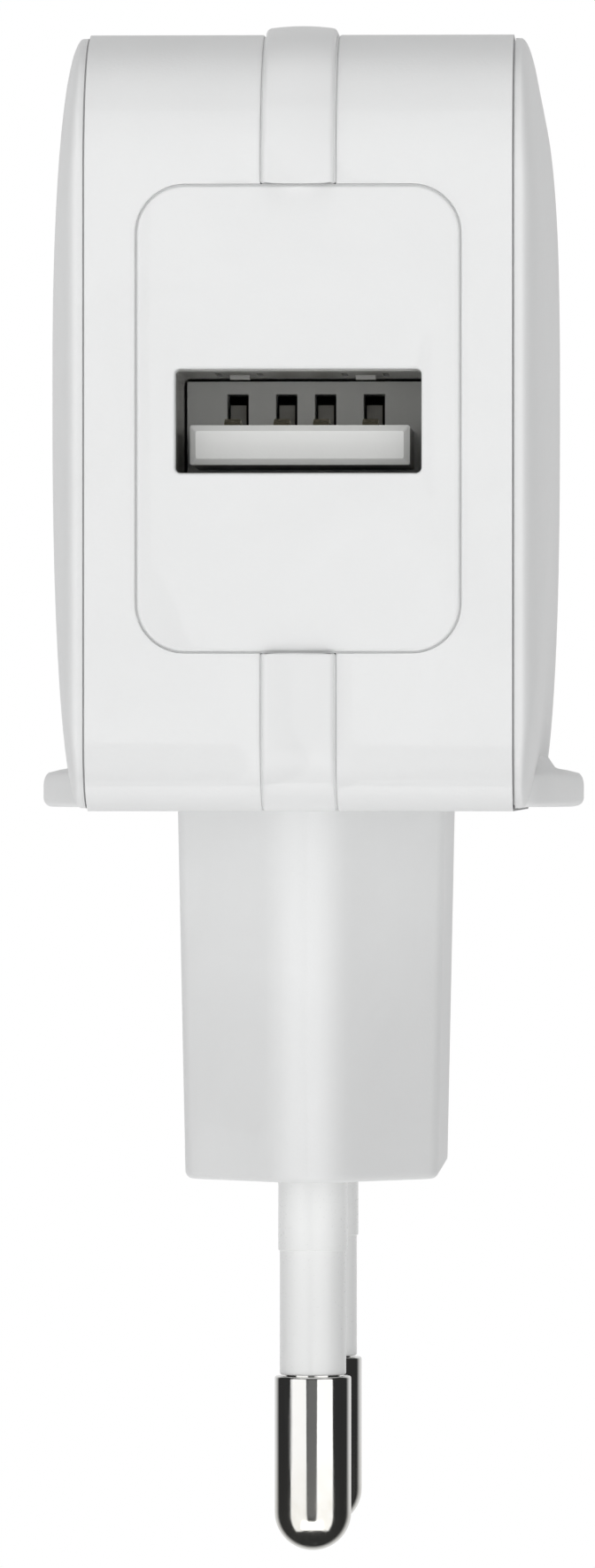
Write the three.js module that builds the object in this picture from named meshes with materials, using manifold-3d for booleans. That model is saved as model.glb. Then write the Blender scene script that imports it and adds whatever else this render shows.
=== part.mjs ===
// A slim USB wall charger with a two-pin flat plug, in millimetres.
// The origin is the centre of the plug's engagement face, which meets the wall socket. +Z runs from that
// face up through the stem into the housing, the pins point down -Z, the USB port faces -Y and X is the
// charger's thickness.
import * as THREE from 'three';
import { mergeVertices } from 'three/addons/utils/BufferGeometryUtils.js';
import Module from 'manifold-3d';

const wasm = await Module();
wasm.setup();

// ---- Driving dimensions -------------------------------------------------------------------------

// Plug stem
const STEM_LENGTH = 19.2;
const STEM_DEPTH = 35.3;
const STEM_FLAT = 23.3;
const STEM_FACE_WIDTH = 13.2;
const STEM_TOP_WIDTH = 14;
const STEM_NOSE_WIDTH = 4.4;
const STEM_WALL = 1.6;
const STEM_FLOOR = 2.6;
const STEM_EDGE = 0.3;
const NECK_STEP = 1.2;
const NECK_FLANGE = 1;

// Pins and their insulating sleeves
const PIN_PITCH = 19;
const PIN_DIAMETER = 4;
const PIN_LENGTH = 19.5;
const PIN_CORE_DIAMETER = 3;
const PIN_HEAD_DIAMETER = 5;
const PIN_HEAD_THICKNESS = 1;
const PIN_POST_DIAMETER = 2;
const PIN_POST_LENGTH = 2.4;
const SLEEVE_DIAMETER = 3.47;
const SLEEVE_LENGTH = 10.3;
const COLLAR_DIAMETER = 3.63;
const COLLAR_LENGTH = 3.8;
const SLEEVE_ROOT = 1.2;
const LEAD_DIAMETER = 1.2;

// Housing frame: two halves that meet under the centre band
const BODY_HEIGHT = 39.5;
const BODY_DEPTH = 64;
const FRAME_WIDTH = 21.5;
const TOP_RADIUS = 7.3;
const FOOT_RADIUS = 3.6;
const WALL = 1.8;
const FRONT_WALL = 2.4;
const SIDE_WALL = 1.3;

// Domed side covers: how far they rise, and how far in from each edge the rise runs
const COVER_RISE = 1.9;
const COVER_RUN_FRONT = 8;
const COVER_RUN_REAR = 28;
const COVER_RUN_FOOT = 21.5;
const COVER_RUN_TOP = 15.5;
const COVER_RIM = 0.25;
const COVER_NOTCH = 0.15;

// Pull grips: a low ridge along the foot of each side cover
const GRIP_SPAN = 28;
const GRIP_HEIGHT = 1.9;
const GRIP_LENGTH = 46;
const GRIP_FLAT = 20;
const GRIP_LIFT = 0.2;
const GRIP_EDGE = 0.7;

// Front panel and the port in it
const PANEL_WIDTH = 16.2;
const PANEL_HEIGHT = 23.4;
const PANEL_RADIUS = 2.4;
const PANEL_THICKNESS = 1.4;
const PANEL_RISE = 19.75;
const PANEL_LEDGE = 1.1;
const PORT_WIDTH = 12.4;
const PORT_HEIGHT = 5.27;
const PORT_RADIUS = 0.3;
const PORT_RISE = 19.63;

// Centre band
const BAND_WIDTH = 3.6;
const BAND_PROUD = 0.45;
const BAND_SUNK = 0.85;

// USB receptacle
const USB_WALL = 0.3;
const USB_LENGTH = 14;
const USB_INSIDE_HEIGHT = 5.12;
const TONGUE_SIDE_GAP = 0.65;
const TONGUE_THICKNESS = 2;
const TONGUE_LIFT = 0.43;
const TONGUE_SETBACK = 0.9;
const TONGUE_LIP = 0.7;
const TONGUE_CHAMFER = 0.3;
const INSULATOR_BACK = 3.2;
const INSULATOR_START = 10.5;
const GROOVE_WIDTH = 1.1;
const GROOVE_DEPTH = 1.25;
const WINDOW_RISE = 1.9;
const TAB_RISE = 1.35;
const CONTACT_WIDTH = 0.8;
const CONTACT_THICKNESS = 0.2;
const CONTACT_OFFSETS = { vbus: -3.5, data_minus: -1, data_plus: 1, ground: 3.5 };
const LATCH_WIDTH = 1.8;
const LATCH_LENGTH = 4;
const LATCH_OFFSET = 3.2;
const LATCH_SLOT = 0.3;

// Circuit board
const BOARD_THICKNESS = 1.6;
const BOARD_STANDOFF = 0.7;
const BOARD_MARGIN = 0.8;
const BOARD_LIFT = 2.6;

// Clearances
const SEAM = 0.1;
const FIT = 0.15;
const SEAT = 0.3;

// ---- Places that follow from them ---------------------------------------------------------------

const FOOT_Z = STEM_LENGTH;
const TOP_Z = FOOT_Z + BODY_HEIGHT;
const FRONT_Y = -BODY_DEPTH / 2;
const REAR_Y = BODY_DEPTH / 2;
const FRAME_X = FRAME_WIDTH / 2;
const PANEL_Z = FOOT_Z + PANEL_RISE;
const PORT_Z = FOOT_Z + PORT_RISE;
const PANEL_BACK_Y = FRONT_Y + PANEL_THICKNESS;
const INNER_X = FRAME_X - SIDE_WALL;
const INNER_FRONT_Y = FRONT_Y + FRONT_WALL;
const INNER_REAR_Y = REAR_Y - WALL;
const INNER_FOOT_Z = FOOT_Z + WALL;
const INNER_TOP_Z = TOP_Z - WALL;
const BOARD_BACK_X = -INNER_X + BOARD_STANDOFF;
const BOARD_X = BOARD_BACK_X + BOARD_THICKNESS;
const USB_MOUTH_Y = PANEL_BACK_Y + SEAM;
const USB_REAR_Y = USB_MOUTH_Y + USB_LENGTH;
const USB_INSIDE_X = PORT_WIDTH / 2 + 0.05;
const USB_FLOOR_Z = PORT_Z - USB_INSIDE_HEIGHT / 2;
const USB_CEILING_Z = PORT_Z + USB_INSIDE_HEIGHT / 2;
const USB_OUTER_X = USB_INSIDE_X + USB_WALL;
const TONGUE_Z = USB_FLOOR_Z + TONGUE_LIFT;
const TONGUE_TOP_Z = TONGUE_Z + TONGUE_THICKNESS;
const TONGUE_TIP_Y = USB_MOUTH_Y + TONGUE_SETBACK;
const INSULATOR_Y = USB_MOUTH_Y + INSULATOR_START;
const PIVOT_Y = INSULATOR_Y + 0.5;
const PIVOT_Z = TONGUE_TOP_Z - 0.2;
const FAR = 200;

// ---- Solids -------------------------------------------------------------------------------------

// A closed geometry becomes a solid that can be joined and cut.
function solidOf(geometry) {
  const bare = new THREE.BufferGeometry();
  bare.setAttribute('position', geometry.getAttribute('position'));
  bare.setIndex(geometry.index);
  const merged = mergeVertices(bare, 1e-4);
  const vertProperties = merged.attributes.position.array;
  const triVerts = new Uint32Array(merged.index.array);
  return new wasm.Manifold(new wasm.Mesh({ numProp: 3, vertProperties, triVerts }));
}

function geometryOf(solid) {
  const mesh = solid.getMesh();
  const geometry = new THREE.BufferGeometry();
  geometry.setAttribute('position', new THREE.BufferAttribute(mesh.vertProperties, 3));
  geometry.setIndex(new THREE.BufferAttribute(mesh.triVerts, 1));
  return geometry;
}

// The same solid on the other side of X = 0, with its faces turned back outwards.
function mirrored(solid) {
  const geometry = geometryOf(solid);
  geometry.scale(-1, 1, 1);
  const index = geometry.index.array;
  for (let i = 0; i < index.length; i += 3) {
    [index[i], index[i + 1]] = [index[i + 1], index[i]];
  }
  return solidOf(geometry);
}

function block([x0, x1], [y0, y1], [z0, z1]) {
  const box = new THREE.BoxGeometry(x1 - x0, y1 - y0, z1 - z0);
  return solidOf(box.translate((x0 + x1) / 2, (y0 + y1) / 2, (z0 + z1) / 2));
}

// Each of these carries a shape drawn in two axes along the third one.
const ALONG = {
  x: new THREE.Matrix4().makeBasis(
    new THREE.Vector3(0, 1, 0), new THREE.Vector3(0, 0, 1), new THREE.Vector3(1, 0, 0)),
  y: new THREE.Matrix4().makeBasis(
    new THREE.Vector3(1, 0, 0), new THREE.Vector3(0, 0, 1), new THREE.Vector3(0, -1, 0)),
  z: new THREE.Matrix4(),
};

function prism(shape, axis, [from, to], curveSegments = 6, bevel = 0) {
  const geometry = new THREE.ExtrudeGeometry(shape, {
    depth: to - from - 2 * bevel,
    curveSegments,
    bevelEnabled: bevel > 0,
    bevelThickness: bevel,
    bevelSize: bevel,
    bevelOffset: -bevel,
    bevelSegments: 1,
  });
  geometry.translate(0, 0, (axis === 'y' ? -to : from) + bevel);
  return solidOf(geometry.applyMatrix4(ALONG[axis]));
}

// A rounded rectangle, with one radius for its two lower corners and one for its two upper corners.
function roundedShape([u0, u1], [v0, v1], low, high = low) {
  const quarter = Math.PI / 2;
  const shape = new THREE.Shape();
  shape.moveTo(u0 + low, v0);
  shape.lineTo(u1 - low, v0);
  shape.absarc(u1 - low, v0 + low, low, -quarter, 0);
  shape.lineTo(u1, v1 - high);
  shape.absarc(u1 - high, v1 - high, high, 0, quarter);
  shape.lineTo(u0 + high, v1);
  shape.absarc(u0 + high, v1 - high, high, quarter, 2 * quarter);
  shape.lineTo(u0, v0 + low);
  shape.absarc(u0 + low, v0 + low, low, 2 * quarter, 3 * quarter);
  return shape;
}

function polygon(points) {
  return new THREE.Shape(points.map(([u, v]) => new THREE.Vector2(u, v)));
}

// Rings of equal point count, stacked along +Z of their own frame, closed by a flat cap at each end.
function loft(rings, matrix) {
  const count = rings[0].length;
  const last = (rings.length - 1) * count;
  const index = [];
  for (let ring = 0; ring < rings.length - 1; ring++) {
    for (let i = 0; i < count; i++) {
      const a = ring * count + i;
      const b = ring * count + (i + 1) % count;
      index.push(a, b, b + count, a, b + count, a + count);
    }
  }
  for (let i = 1; i < count - 1; i++) {
    index.push(0, i + 1, i, last, last + i, last + i + 1);
  }
  const geometry = new THREE.BufferGeometry().setFromPoints(rings.flat());
  geometry.setIndex(index);
  return solidOf(geometry.applyMatrix4(matrix));
}

// The points of a closed shape, once each, at one height.
function ringOf(shape, height, divisions) {
  const points = shape.getPoints(divisions);
  if (points[0].distanceTo(points.at(-1)) < 1e-6) points.pop();
  return points.map((point) => new THREE.Vector3(point.x, point.y, height));
}

// A turned piece about +Z, from [radius, height] pairs that start and end on the axis.
function turned(profile, segments, [x, y, z]) {
  const points = profile.map(([radius, height]) => new THREE.Vector2(radius, height));
  const geometry = new THREE.LatheGeometry(points, segments);
  return solidOf(geometry.rotateX(Math.PI / 2).translate(x, y, z));
}

// The same, standing on the circuit board about an axis along +X.
function turnedOnBoard(profile, segments, [y, z], standoff = 0.25) {
  const points = profile.map(([radius, height]) => new THREE.Vector2(radius, height));
  const geometry = new THREE.LatheGeometry(points, segments);
  return solidOf(geometry.rotateZ(-Math.PI / 2).translate(BOARD_X + standoff, y, z));
}

function joined(solids) {
  return solids.reduce((all, solid) => all.add(solid));
}

function cut(solid, tools) {
  return tools.reduce((left, tool) => left.subtract(tool), solid);
}

// ---- Materials and the assembly -----------------------------------------------------------------

const finishes = {
  white: { color: 0xf1f3f3, roughness: 0.38, metalness: 0 },
  nickel: { color: 0xb9b7b2, roughness: 0.18, metalness: 1 },
  porcelain: { color: 0xd9dcda, roughness: 0.45, metalness: 0 },
  steel: { color: 0x8f8f8c, roughness: 0.35, metalness: 1 },
  gold: { color: 0xcfa349, roughness: 0.3, metalness: 1 },
  copper: { color: 0xa9643a, roughness: 0.4, metalness: 1 },
  laminate: { color: 0xb59a5a, roughness: 0.6, metalness: 0 },
  ferrite: { color: 0x2f3032, roughness: 0.7, metalness: 0 },
  tape: { color: 0xe6b422, roughness: 0.45, metalness: 0 },
  can: { color: 0x2b2f3a, roughness: 0.4, metalness: 0 },
  ceramic: { color: 0x2f62a8, roughness: 0.4, metalness: 0 },
  resin: { color: 0x1b1b1c, roughness: 0.55, metalness: 0 },
  wire: { color: 0xb3261e, roughness: 0.5, metalness: 0 },
};

const charger = new THREE.Group();

function place(name, finish, solid) {
  const mesh = new THREE.Mesh(geometryOf(solid), new THREE.MeshStandardMaterial(finishes[finish]));
  mesh.name = name;
  charger.add(mesh);
}

// ---- Plug stem ----------------------------------------------------------------------------------

// The stem's plan: two long flats, and at each end two slanting faces that meet in a rounded nose.
// The quadratic curve's control point is set so that the nose ends exactly at half the depth.
function stemShape(width, inset) {
  const halfWidth = width / 2 - inset;
  const halfDepth = STEM_DEPTH / 2 - inset;
  const corner = STEM_FLAT / 2;
  const nose = STEM_NOSE_WIDTH / 2;
  const share = nose / halfWidth;
  const apex = (2 * halfDepth - share * corner) / (2 - share);
  const start = apex - share * (apex - corner);
  const shape = new THREE.Shape();
  shape.moveTo(halfWidth, -corner);
  shape.lineTo(halfWidth, corner);
  shape.lineTo(nose, start);
  shape.quadraticCurveTo(0, apex, -nose, start);
  shape.lineTo(-halfWidth, corner);
  shape.lineTo(-halfWidth, -corner);
  shape.lineTo(-nose, -start);
  shape.quadraticCurveTo(0, -apex, nose, -start);
  return shape;
}

function stemWidthAt(z) {
  return STEM_FACE_WIDTH + (STEM_TOP_WIDTH - STEM_FACE_WIDTH) * z / STEM_LENGTH;
}

function stemLoft(levels) {
  const rings = levels.map(([z, inset]) => ringOf(stemShape(stemWidthAt(z), inset), z, 6));
  return loft(rings, ALONG.z);
}

const pinPlaces = { front: -PIN_PITCH / 2, rear: PIN_PITCH / 2 };
const neckInset = NECK_STEP + SEAM;
const flangeFoot = INNER_FOOT_Z + SEAM;
const flangeTop = flangeFoot + NECK_FLANGE;

function plugBody() {
  const skin = stemLoft([[0, STEM_EDGE], [STEM_EDGE, 0], [FOOT_Z - SEAM, 0]]);
  const neck = stemLoft([[FOOT_Z - 1, neckInset], [flangeTop, neckInset]]);
  const flange = stemLoft([[flangeFoot, 0], [flangeTop, 0]]);
  const hollow = stemLoft([[STEM_FLOOR, STEM_WALL], [FOOT_Z - 2, STEM_WALL]]);
  const throat = stemLoft([[FOOT_Z - 3, NECK_STEP + STEM_WALL], [flangeTop + 1, NECK_STEP + STEM_WALL]]);
  const bores = Object.values(pinPlaces).map((y) => turned([
    [0, -1],
    [COLLAR_DIAMETER / 2 + SEAM, -1],
    [COLLAR_DIAMETER / 2 + SEAM, SLEEVE_ROOT + SEAM],
    [PIN_CORE_DIAMETER / 2 + SEAM, SLEEVE_ROOT + SEAM],
    [PIN_CORE_DIAMETER / 2 + SEAM, STEM_FLOOR + 1],
    [0, STEM_FLOOR + 1],
  ], 20, [0, y, 0]));
  return cut(joined([skin, neck, flange]), [hollow, throat, ...bores]);
}

place('plug_body', 'white', plugBody());

// ---- Pins, sleeves and leads --------------------------------------------------------------------

function pin(y) {
  const radius = PIN_DIAMETER / 2;
  const tip = -PIN_LENGTH;
  const dome = [0, 0.25, 0.5, 0.75, 1].map((step) => {
    const angle = step * Math.PI / 2;
    return [radius * Math.sin(angle), tip + radius * (1 - Math.cos(angle))];
  });
  const head = STEM_FLOOR + SEAM;
  return turned([
    ...dome,
    [radius, -SLEEVE_LENGTH - SEAM],
    [PIN_CORE_DIAMETER / 2, -SLEEVE_LENGTH - SEAM],
    [PIN_CORE_DIAMETER / 2, head],
    [PIN_HEAD_DIAMETER / 2, head],
    [PIN_HEAD_DIAMETER / 2, head + PIN_HEAD_THICKNESS],
    [PIN_POST_DIAMETER / 2, head + PIN_HEAD_THICKNESS],
    [PIN_POST_DIAMETER / 2, head + PIN_HEAD_THICKNESS + PIN_POST_LENGTH],
    [0, head + PIN_HEAD_THICKNESS + PIN_POST_LENGTH],
  ], 20, [0, y, 0]);
}

function sleeve(y) {
  const bore = PIN_CORE_DIAMETER / 2 + SEAM / 2;
  const tube = turned([
    [0, -SLEEVE_LENGTH],
    [SLEEVE_DIAMETER / 2, -SLEEVE_LENGTH],
    [SLEEVE_DIAMETER / 2, -COLLAR_LENGTH],
    [COLLAR_DIAMETER / 2, -COLLAR_LENGTH + 0.15],
    [COLLAR_DIAMETER / 2, SLEEVE_ROOT],
    [0, SLEEVE_ROOT],
  ], 20, [0, y, 0]);
  const drill = turned([[0, -FAR], [bore, -FAR], [bore, FAR], [0, FAR]], 20, [0, y, 0]);
  return tube.subtract(drill);
}

// A wire from the pin's solder post, up through the neck and across to a pad on the circuit board.
function lead(y) {
  const start = STEM_FLOOR + SEAM + PIN_HEAD_THICKNESS + PIN_POST_LENGTH + SEAT;
  const path = new THREE.CatmullRomCurve3([
    new THREE.Vector3(0, y, start),
    new THREE.Vector3(0, y, (start + FOOT_Z) / 2),
    new THREE.Vector3(-1.2, y, FOOT_Z),
    new THREE.Vector3(-4.2, y, flangeTop + 2),
    new THREE.Vector3(BOARD_X + SEAT, y, flangeTop + 3),
  ]);
  const section = new THREE.Shape().absarc(0, 0, LEAD_DIAMETER / 2, 0, 2 * Math.PI);
  const geometry = new THREE.ExtrudeGeometry(section, { steps: 14, curveSegments: 4, extrudePath: path });
  return solidOf(geometry);
}

for (const [end, y] of Object.entries(pinPlaces)) {
  place(`pin_${end}`, 'nickel', pin(y));
  place(`sleeve_${end}`, 'white', sleeve(y));
  place(`lead_${end}`, 'wire', lead(y));
}

// ---- Housing frame ------------------------------------------------------------------------------

// The charger's outline seen from the side, grown or shrunk by an offset.
function bodyShape(offset) {
  return roundedShape(
    [FRONT_Y - offset, REAR_Y + offset], [FOOT_Z - offset, TOP_Z + offset],
    FOOT_RADIUS + offset, TOP_RADIUS + offset);
}

// A closed ring along that outline, between two offsets, centred on X = 0.
function outlineRing(outer, inner, halfWidth) {
  const shape = bodyShape(outer);
  shape.holes.push(bodyShape(inner));
  return prism(shape, 'x', [-halfWidth, halfWidth]);
}

// The room that the USB receptacle needs, wherever it is wider than the panel's window or the board's face.
const receptacleWay = block(
  [-USB_OUTER_X - SEAT, USB_OUTER_X + SEAT],
  [PANEL_BACK_Y, USB_REAR_Y + SEAT],
  [USB_FLOOR_Z - USB_WALL - SEAT, USB_CEILING_Z + USB_WALL + SEAT]);

const underStem = block([-FAR, FAR], [-STEM_DEPTH / 2 - SEAT, STEM_DEPTH / 2 + SEAT], [0, FOOT_Z + WALL]);

function panelShape(margin) {
  return roundedShape(
    [-PANEL_WIDTH / 2 - margin, PANEL_WIDTH / 2 + margin],
    [PANEL_Z - PANEL_HEIGHT / 2 - margin, PANEL_Z + PANEL_HEIGHT / 2 + margin],
    PANEL_RADIUS + margin);
}

function shellRight() {
  const skin = prism(bodyShape(0), 'x', [SEAM / 2, FRAME_X]);
  const cavity = prism(roundedShape(
    [INNER_FRONT_Y, INNER_REAR_Y], [INNER_FOOT_Z, INNER_TOP_Z],
    FOOT_RADIUS - WALL, TOP_RADIUS - WALL), 'x', [-FAR, INNER_X]);
  const neckHole = loft([FOOT_Z - 1, INNER_FOOT_Z + 1].map(
    (z) => ringOf(stemShape(stemWidthAt(FOOT_Z), NECK_STEP), z, 6)), ALONG.z);
  const groove = outlineRing(5, -BAND_SUNK - SEAM, BAND_WIDTH / 2 + SEAM).subtract(underStem);
  const recess = prism(panelShape(SEAM), 'y', [FRONT_Y - 1, PANEL_BACK_Y + SEAM]);
  const window = prism(panelShape(-PANEL_LEDGE), 'y', [FRONT_Y - 1, INNER_FRONT_Y + 1]);
  return cut(skin, [cavity, neckHole, groove, recess, window, receptacleWay]);
}

const rightShell = shellRight();
place('shell_right', 'white', rightShell);
place('shell_left', 'white', mirrored(rightShell));

// ---- Side covers --------------------------------------------------------------------------------

// Rings of the body's outline that close in as they rise. Each edge follows its own quarter ellipse, so the
// inset at a share h of the rise is run * (1 - sqrt(1 - h * h)). A corner is never rounder than its ring allows.
function coverDome() {
  const base = FRAME_X + SEAM;
  const ring = (share, x) => {
    const inset = 1 - Math.sqrt(1 - share * share);
    const low = FOOT_Z + COVER_NOTCH + inset * COVER_RUN_FOOT;
    const high = TOP_Z - COVER_NOTCH - inset * COVER_RUN_TOP;
    const limit = (high - low) * 0.45;
    return ringOf(roundedShape(
      [FRONT_Y + COVER_NOTCH + inset * COVER_RUN_FRONT, REAR_Y - COVER_NOTCH - inset * COVER_RUN_REAR],
      [low, high],
      Math.min(FOOT_RADIUS, limit), Math.min(limit, Math.max(FOOT_RADIUS, TOP_RADIUS - inset * 3))), x, 4);
  };
  const shares = [0, 0.22, 0.42, 0.6, 0.74, 0.85, 0.93, 0.98, 1];
  const risen = shares.map((share) => ring(share, base + COVER_RIM + share * (COVER_RISE - COVER_RIM)));
  return loft([ring(0, base), ...risen], ALONG.x);
}

// The grip's plan is a long flat ridge that runs out into the cover at both ends. Its outer edge is rounded
// by drawing the first and last rings closer in.
function gripRidge() {
  const root = FRAME_X + SEAM;
  const flat = GRIP_FLAT / 2;
  const ring = (z, inset) => {
    const reach = GRIP_SPAN / 2 - inset;
    const end = GRIP_LENGTH / 2 - inset;
    const bend = (end + flat) / 2;
    const shape = new THREE.Shape();
    shape.moveTo(root, -end);
    shape.bezierCurveTo(root + 1.6, -end, reach, -bend, reach, -flat);
    shape.lineTo(reach, flat);
    shape.bezierCurveTo(reach, bend, root + 1.6, end, root, end);
    return ringOf(shape, z, 7);
  };
  const foot = FOOT_Z + GRIP_LIFT;
  const top = foot + GRIP_HEIGHT;
  const half = GRIP_EDGE / 3;
  return loft([
    ring(foot, GRIP_EDGE), ring(foot + half, half), ring(foot + GRIP_EDGE, 0),
    ring(top - GRIP_EDGE, 0), ring(top - half, half), ring(top, GRIP_EDGE),
  ], ALONG.z);
}

const rightCover = coverDome().add(gripRidge());
place('side_cover_right', 'white', rightCover);
place('side_cover_left', 'white', mirrored(rightCover));

// ---- Front panel and centre band ----------------------------------------------------------------

function frontPanel() {
  const plate = prism(panelShape(0), 'y', [FRONT_Y, PANEL_BACK_Y]);
  const port = prism(roundedShape(
    [-PORT_WIDTH / 2, PORT_WIDTH / 2], [PORT_Z - PORT_HEIGHT / 2, PORT_Z + PORT_HEIGHT / 2],
    PORT_RADIUS), 'y', [FRONT_Y - 1, PANEL_BACK_Y + 1], 3);
  return plate.subtract(port);
}

place('front_panel', 'white', frontPanel());

// The band is the outline ring without the panel's stretch and the stem's, which leaves two strips. It stands
// proud everywhere but under the foot, where it is flush.
function bandStrips() {
  const ring = outlineRing(BAND_PROUD, -BAND_SUNK, BAND_WIDTH / 2);
  const panelZone = prism(panelShape(SEAM), 'y', [FRONT_Y - FAR, FRONT_Y + FRONT_WALL]);
  const belowFoot = block([-FAR, FAR], [-FAR, FAR], [0, FOOT_Z]);
  const strips = cut(ring, [panelZone, underStem, belowFoot]);
  const lowerZone = block([-FAR, FAR], [-FAR, -PIN_PITCH / 2], [-FAR, PANEL_Z]);
  return { upper: strips.subtract(lowerZone), lower: strips.intersect(lowerZone) };
}

const bands = bandStrips();
place('band_upper', 'white', bands.upper);
place('band_lower', 'white', bands.lower);

// ---- USB receptacle -----------------------------------------------------------------------------

// A stamped shell: a square tube with two latch springs in its ceiling, two in its floor, and two legs
// that reach into the circuit board.
function usbShell() {
  const length = [USB_MOUTH_Y, USB_REAR_Y];
  const tube = prism(roundedShape(
    [-USB_OUTER_X, USB_OUTER_X], [USB_FLOOR_Z - USB_WALL, USB_CEILING_Z + USB_WALL], 0.6), 'y', length, 2);
  const bore = prism(roundedShape(
    [-USB_INSIDE_X, USB_INSIDE_X], [USB_FLOOR_Z, USB_CEILING_Z], 0.3), 'y', [-FAR, FAR], 2);
  const legs = [4.2, 10.8].map((y) => block(
    [BOARD_BACK_X - 0.3, -USB_OUTER_X + 0.1],
    [USB_MOUTH_Y + y, USB_MOUTH_Y + y + 1.2],
    [USB_CEILING_Z - 0.5, USB_CEILING_Z - 0.5 + USB_WALL]));
  const root = USB_MOUTH_Y + 3;
  const tip = root + LATCH_LENGTH;
  const slots = [];
  const dimples = [];
  for (const x of [-LATCH_OFFSET, LATCH_OFFSET]) {
    const inner = x - LATCH_WIDTH / 2;
    const outer = x + LATCH_WIDTH / 2;
    slots.push(
      block([inner - LATCH_SLOT, inner], [root, tip + LATCH_SLOT], [-FAR, FAR]),
      block([outer, outer + LATCH_SLOT], [root, tip + LATCH_SLOT], [-FAR, FAR]),
      block([inner - LATCH_SLOT, outer + LATCH_SLOT], [tip, tip + LATCH_SLOT], [-FAR, FAR]));
    const ridge = [tip - 1.4, tip - 0.4];
    dimples.push(
      block([x - 0.5, x + 0.5], ridge, [USB_CEILING_Z - 0.22, USB_CEILING_Z + 0.1]),
      block([x - 0.5, x + 0.5], ridge, [USB_FLOOR_Z - 0.1, USB_FLOOR_Z + 0.2]));
  }
  return joined([cut(tube, [bore, ...slots]), ...legs, ...dimples]);
}

place('usb_shell', 'steel', usbShell());

// The insulator: a block that closes the rear of the shell, and the tongue that stands out of it. Each
// contact has a groove in the tongue's upper side, which runs back through a window in the block.
function usbInsulator() {
  const back = block(
    [-USB_INSIDE_X + FIT, USB_INSIDE_X - FIT],
    [INSULATOR_Y, INSULATOR_Y + INSULATOR_BACK],
    [USB_FLOOR_Z + FIT, USB_CEILING_Z - FIT]);
  const tongueX = PORT_WIDTH / 2 - TONGUE_SIDE_GAP;
  const section = (y, inset) => ringOf(roundedShape(
    [inset - tongueX, tongueX - inset], [TONGUE_Z + inset, TONGUE_TOP_Z - inset], 0.1), -y, 2);
  const tongue = loft([
    section(INSULATOR_Y + 1, 0),
    section(TONGUE_TIP_Y + TONGUE_CHAMFER, 0),
    section(TONGUE_TIP_Y, TONGUE_CHAMFER),
  ], ALONG.y);
  const grooves = Object.values(CONTACT_OFFSETS).map((x) => block(
    [x - GROOVE_WIDTH / 2, x + GROOVE_WIDTH / 2],
    [TONGUE_TIP_Y + TONGUE_LIP, INSULATOR_Y + INSULATOR_BACK + 1],
    [TONGUE_TOP_Z - GROOVE_DEPTH, TONGUE_TOP_Z + WINDOW_RISE]));
  return cut(back.add(tongue), grooves);
}

place('usb_insulator', 'porcelain', usbInsulator());

// One contact's spring arm: a bowed strip whose crest stands above the tongue. It turns about its root at
// PIVOT_Y, PIVOT_Z when a plug presses the crest down.
function contactArm(x) {
  const reach = PIVOT_Y - (TONGUE_TIP_Y + TONGUE_LIP);
  const bow = [[0.01, 0], [0.33, 0.02], [0.62, 0.42], [0.74, 0.5], [0.83, 0.3], [0.95, -0.28]];
  const edge = (side) => bow.map(([share, rise]) => [
    PIVOT_Y - share * reach, PIVOT_Z + rise + side * CONTACT_THICKNESS / 2]);
  const half = CONTACT_WIDTH / 2;
  return prism(polygon([...edge(-1).reverse(), ...edge(1)]), 'x', [x - half, x + half]);
}

// The soldered leg behind the arm: straight back out of the insulator, then across to the board. The legs
// turn one behind the other, so that they don't cross. A tab stands up at the leg's front end, in the window.
function contactLeg(x, order) {
  const half = CONTACT_WIDTH / 2;
  const turn = USB_REAR_Y + 0.6 + order * 1.3;
  const outline = polygon([
    [x - half, PIVOT_Y + SEAT],
    [x + half, PIVOT_Y + SEAT],
    [x + half, turn + CONTACT_WIDTH],
    [BOARD_X + SEAT, turn + CONTACT_WIDTH],
    [BOARD_X + SEAT, turn],
    [x - half, turn],
  ]);
  const foot = PIVOT_Z - CONTACT_THICKNESS / 2;
  const tab = block(
    [x - half, x + half],
    [PIVOT_Y + SEAT, PIVOT_Y + SEAT + CONTACT_THICKNESS],
    [foot, TONGUE_TOP_Z + TAB_RISE]);
  return joined([prism(outline, 'z', [foot, foot + CONTACT_THICKNESS]), tab]);
}

Object.entries(CONTACT_OFFSETS).forEach(([line, x], order) => {
  place(`contact_spring_${line}`, 'gold', contactArm(x));
  place(`contact_leg_${line}`, 'gold', contactLeg(x, order));
});

// ---- Circuit board ------------------------------------------------------------------------------

function mainBoard() {
  const plate = prism(roundedShape(
    [INNER_FRONT_Y + BOARD_MARGIN, INNER_REAR_Y - BOARD_MARGIN],
    [INNER_FOOT_Z + BOARD_LIFT, INNER_TOP_Z - BOARD_MARGIN],
    1, TOP_RADIUS - WALL), 'x', [BOARD_BACK_X, BOARD_X], 4);
  const legHoles = [4.2, 10.8].map((y) => block(
    [-FAR, 0],
    [USB_MOUTH_Y + y - SEAT, USB_MOUTH_Y + y + 1.2 + SEAT],
    [USB_CEILING_Z - 0.5 - SEAT, USB_CEILING_Z - 0.5 + USB_WALL + SEAT]));
  return cut(plate, [receptacleWay, ...legHoles]);
}

place('main_board', 'laminate', mainBoard());

// ---- Transformer --------------------------------------------------------------------------------

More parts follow.
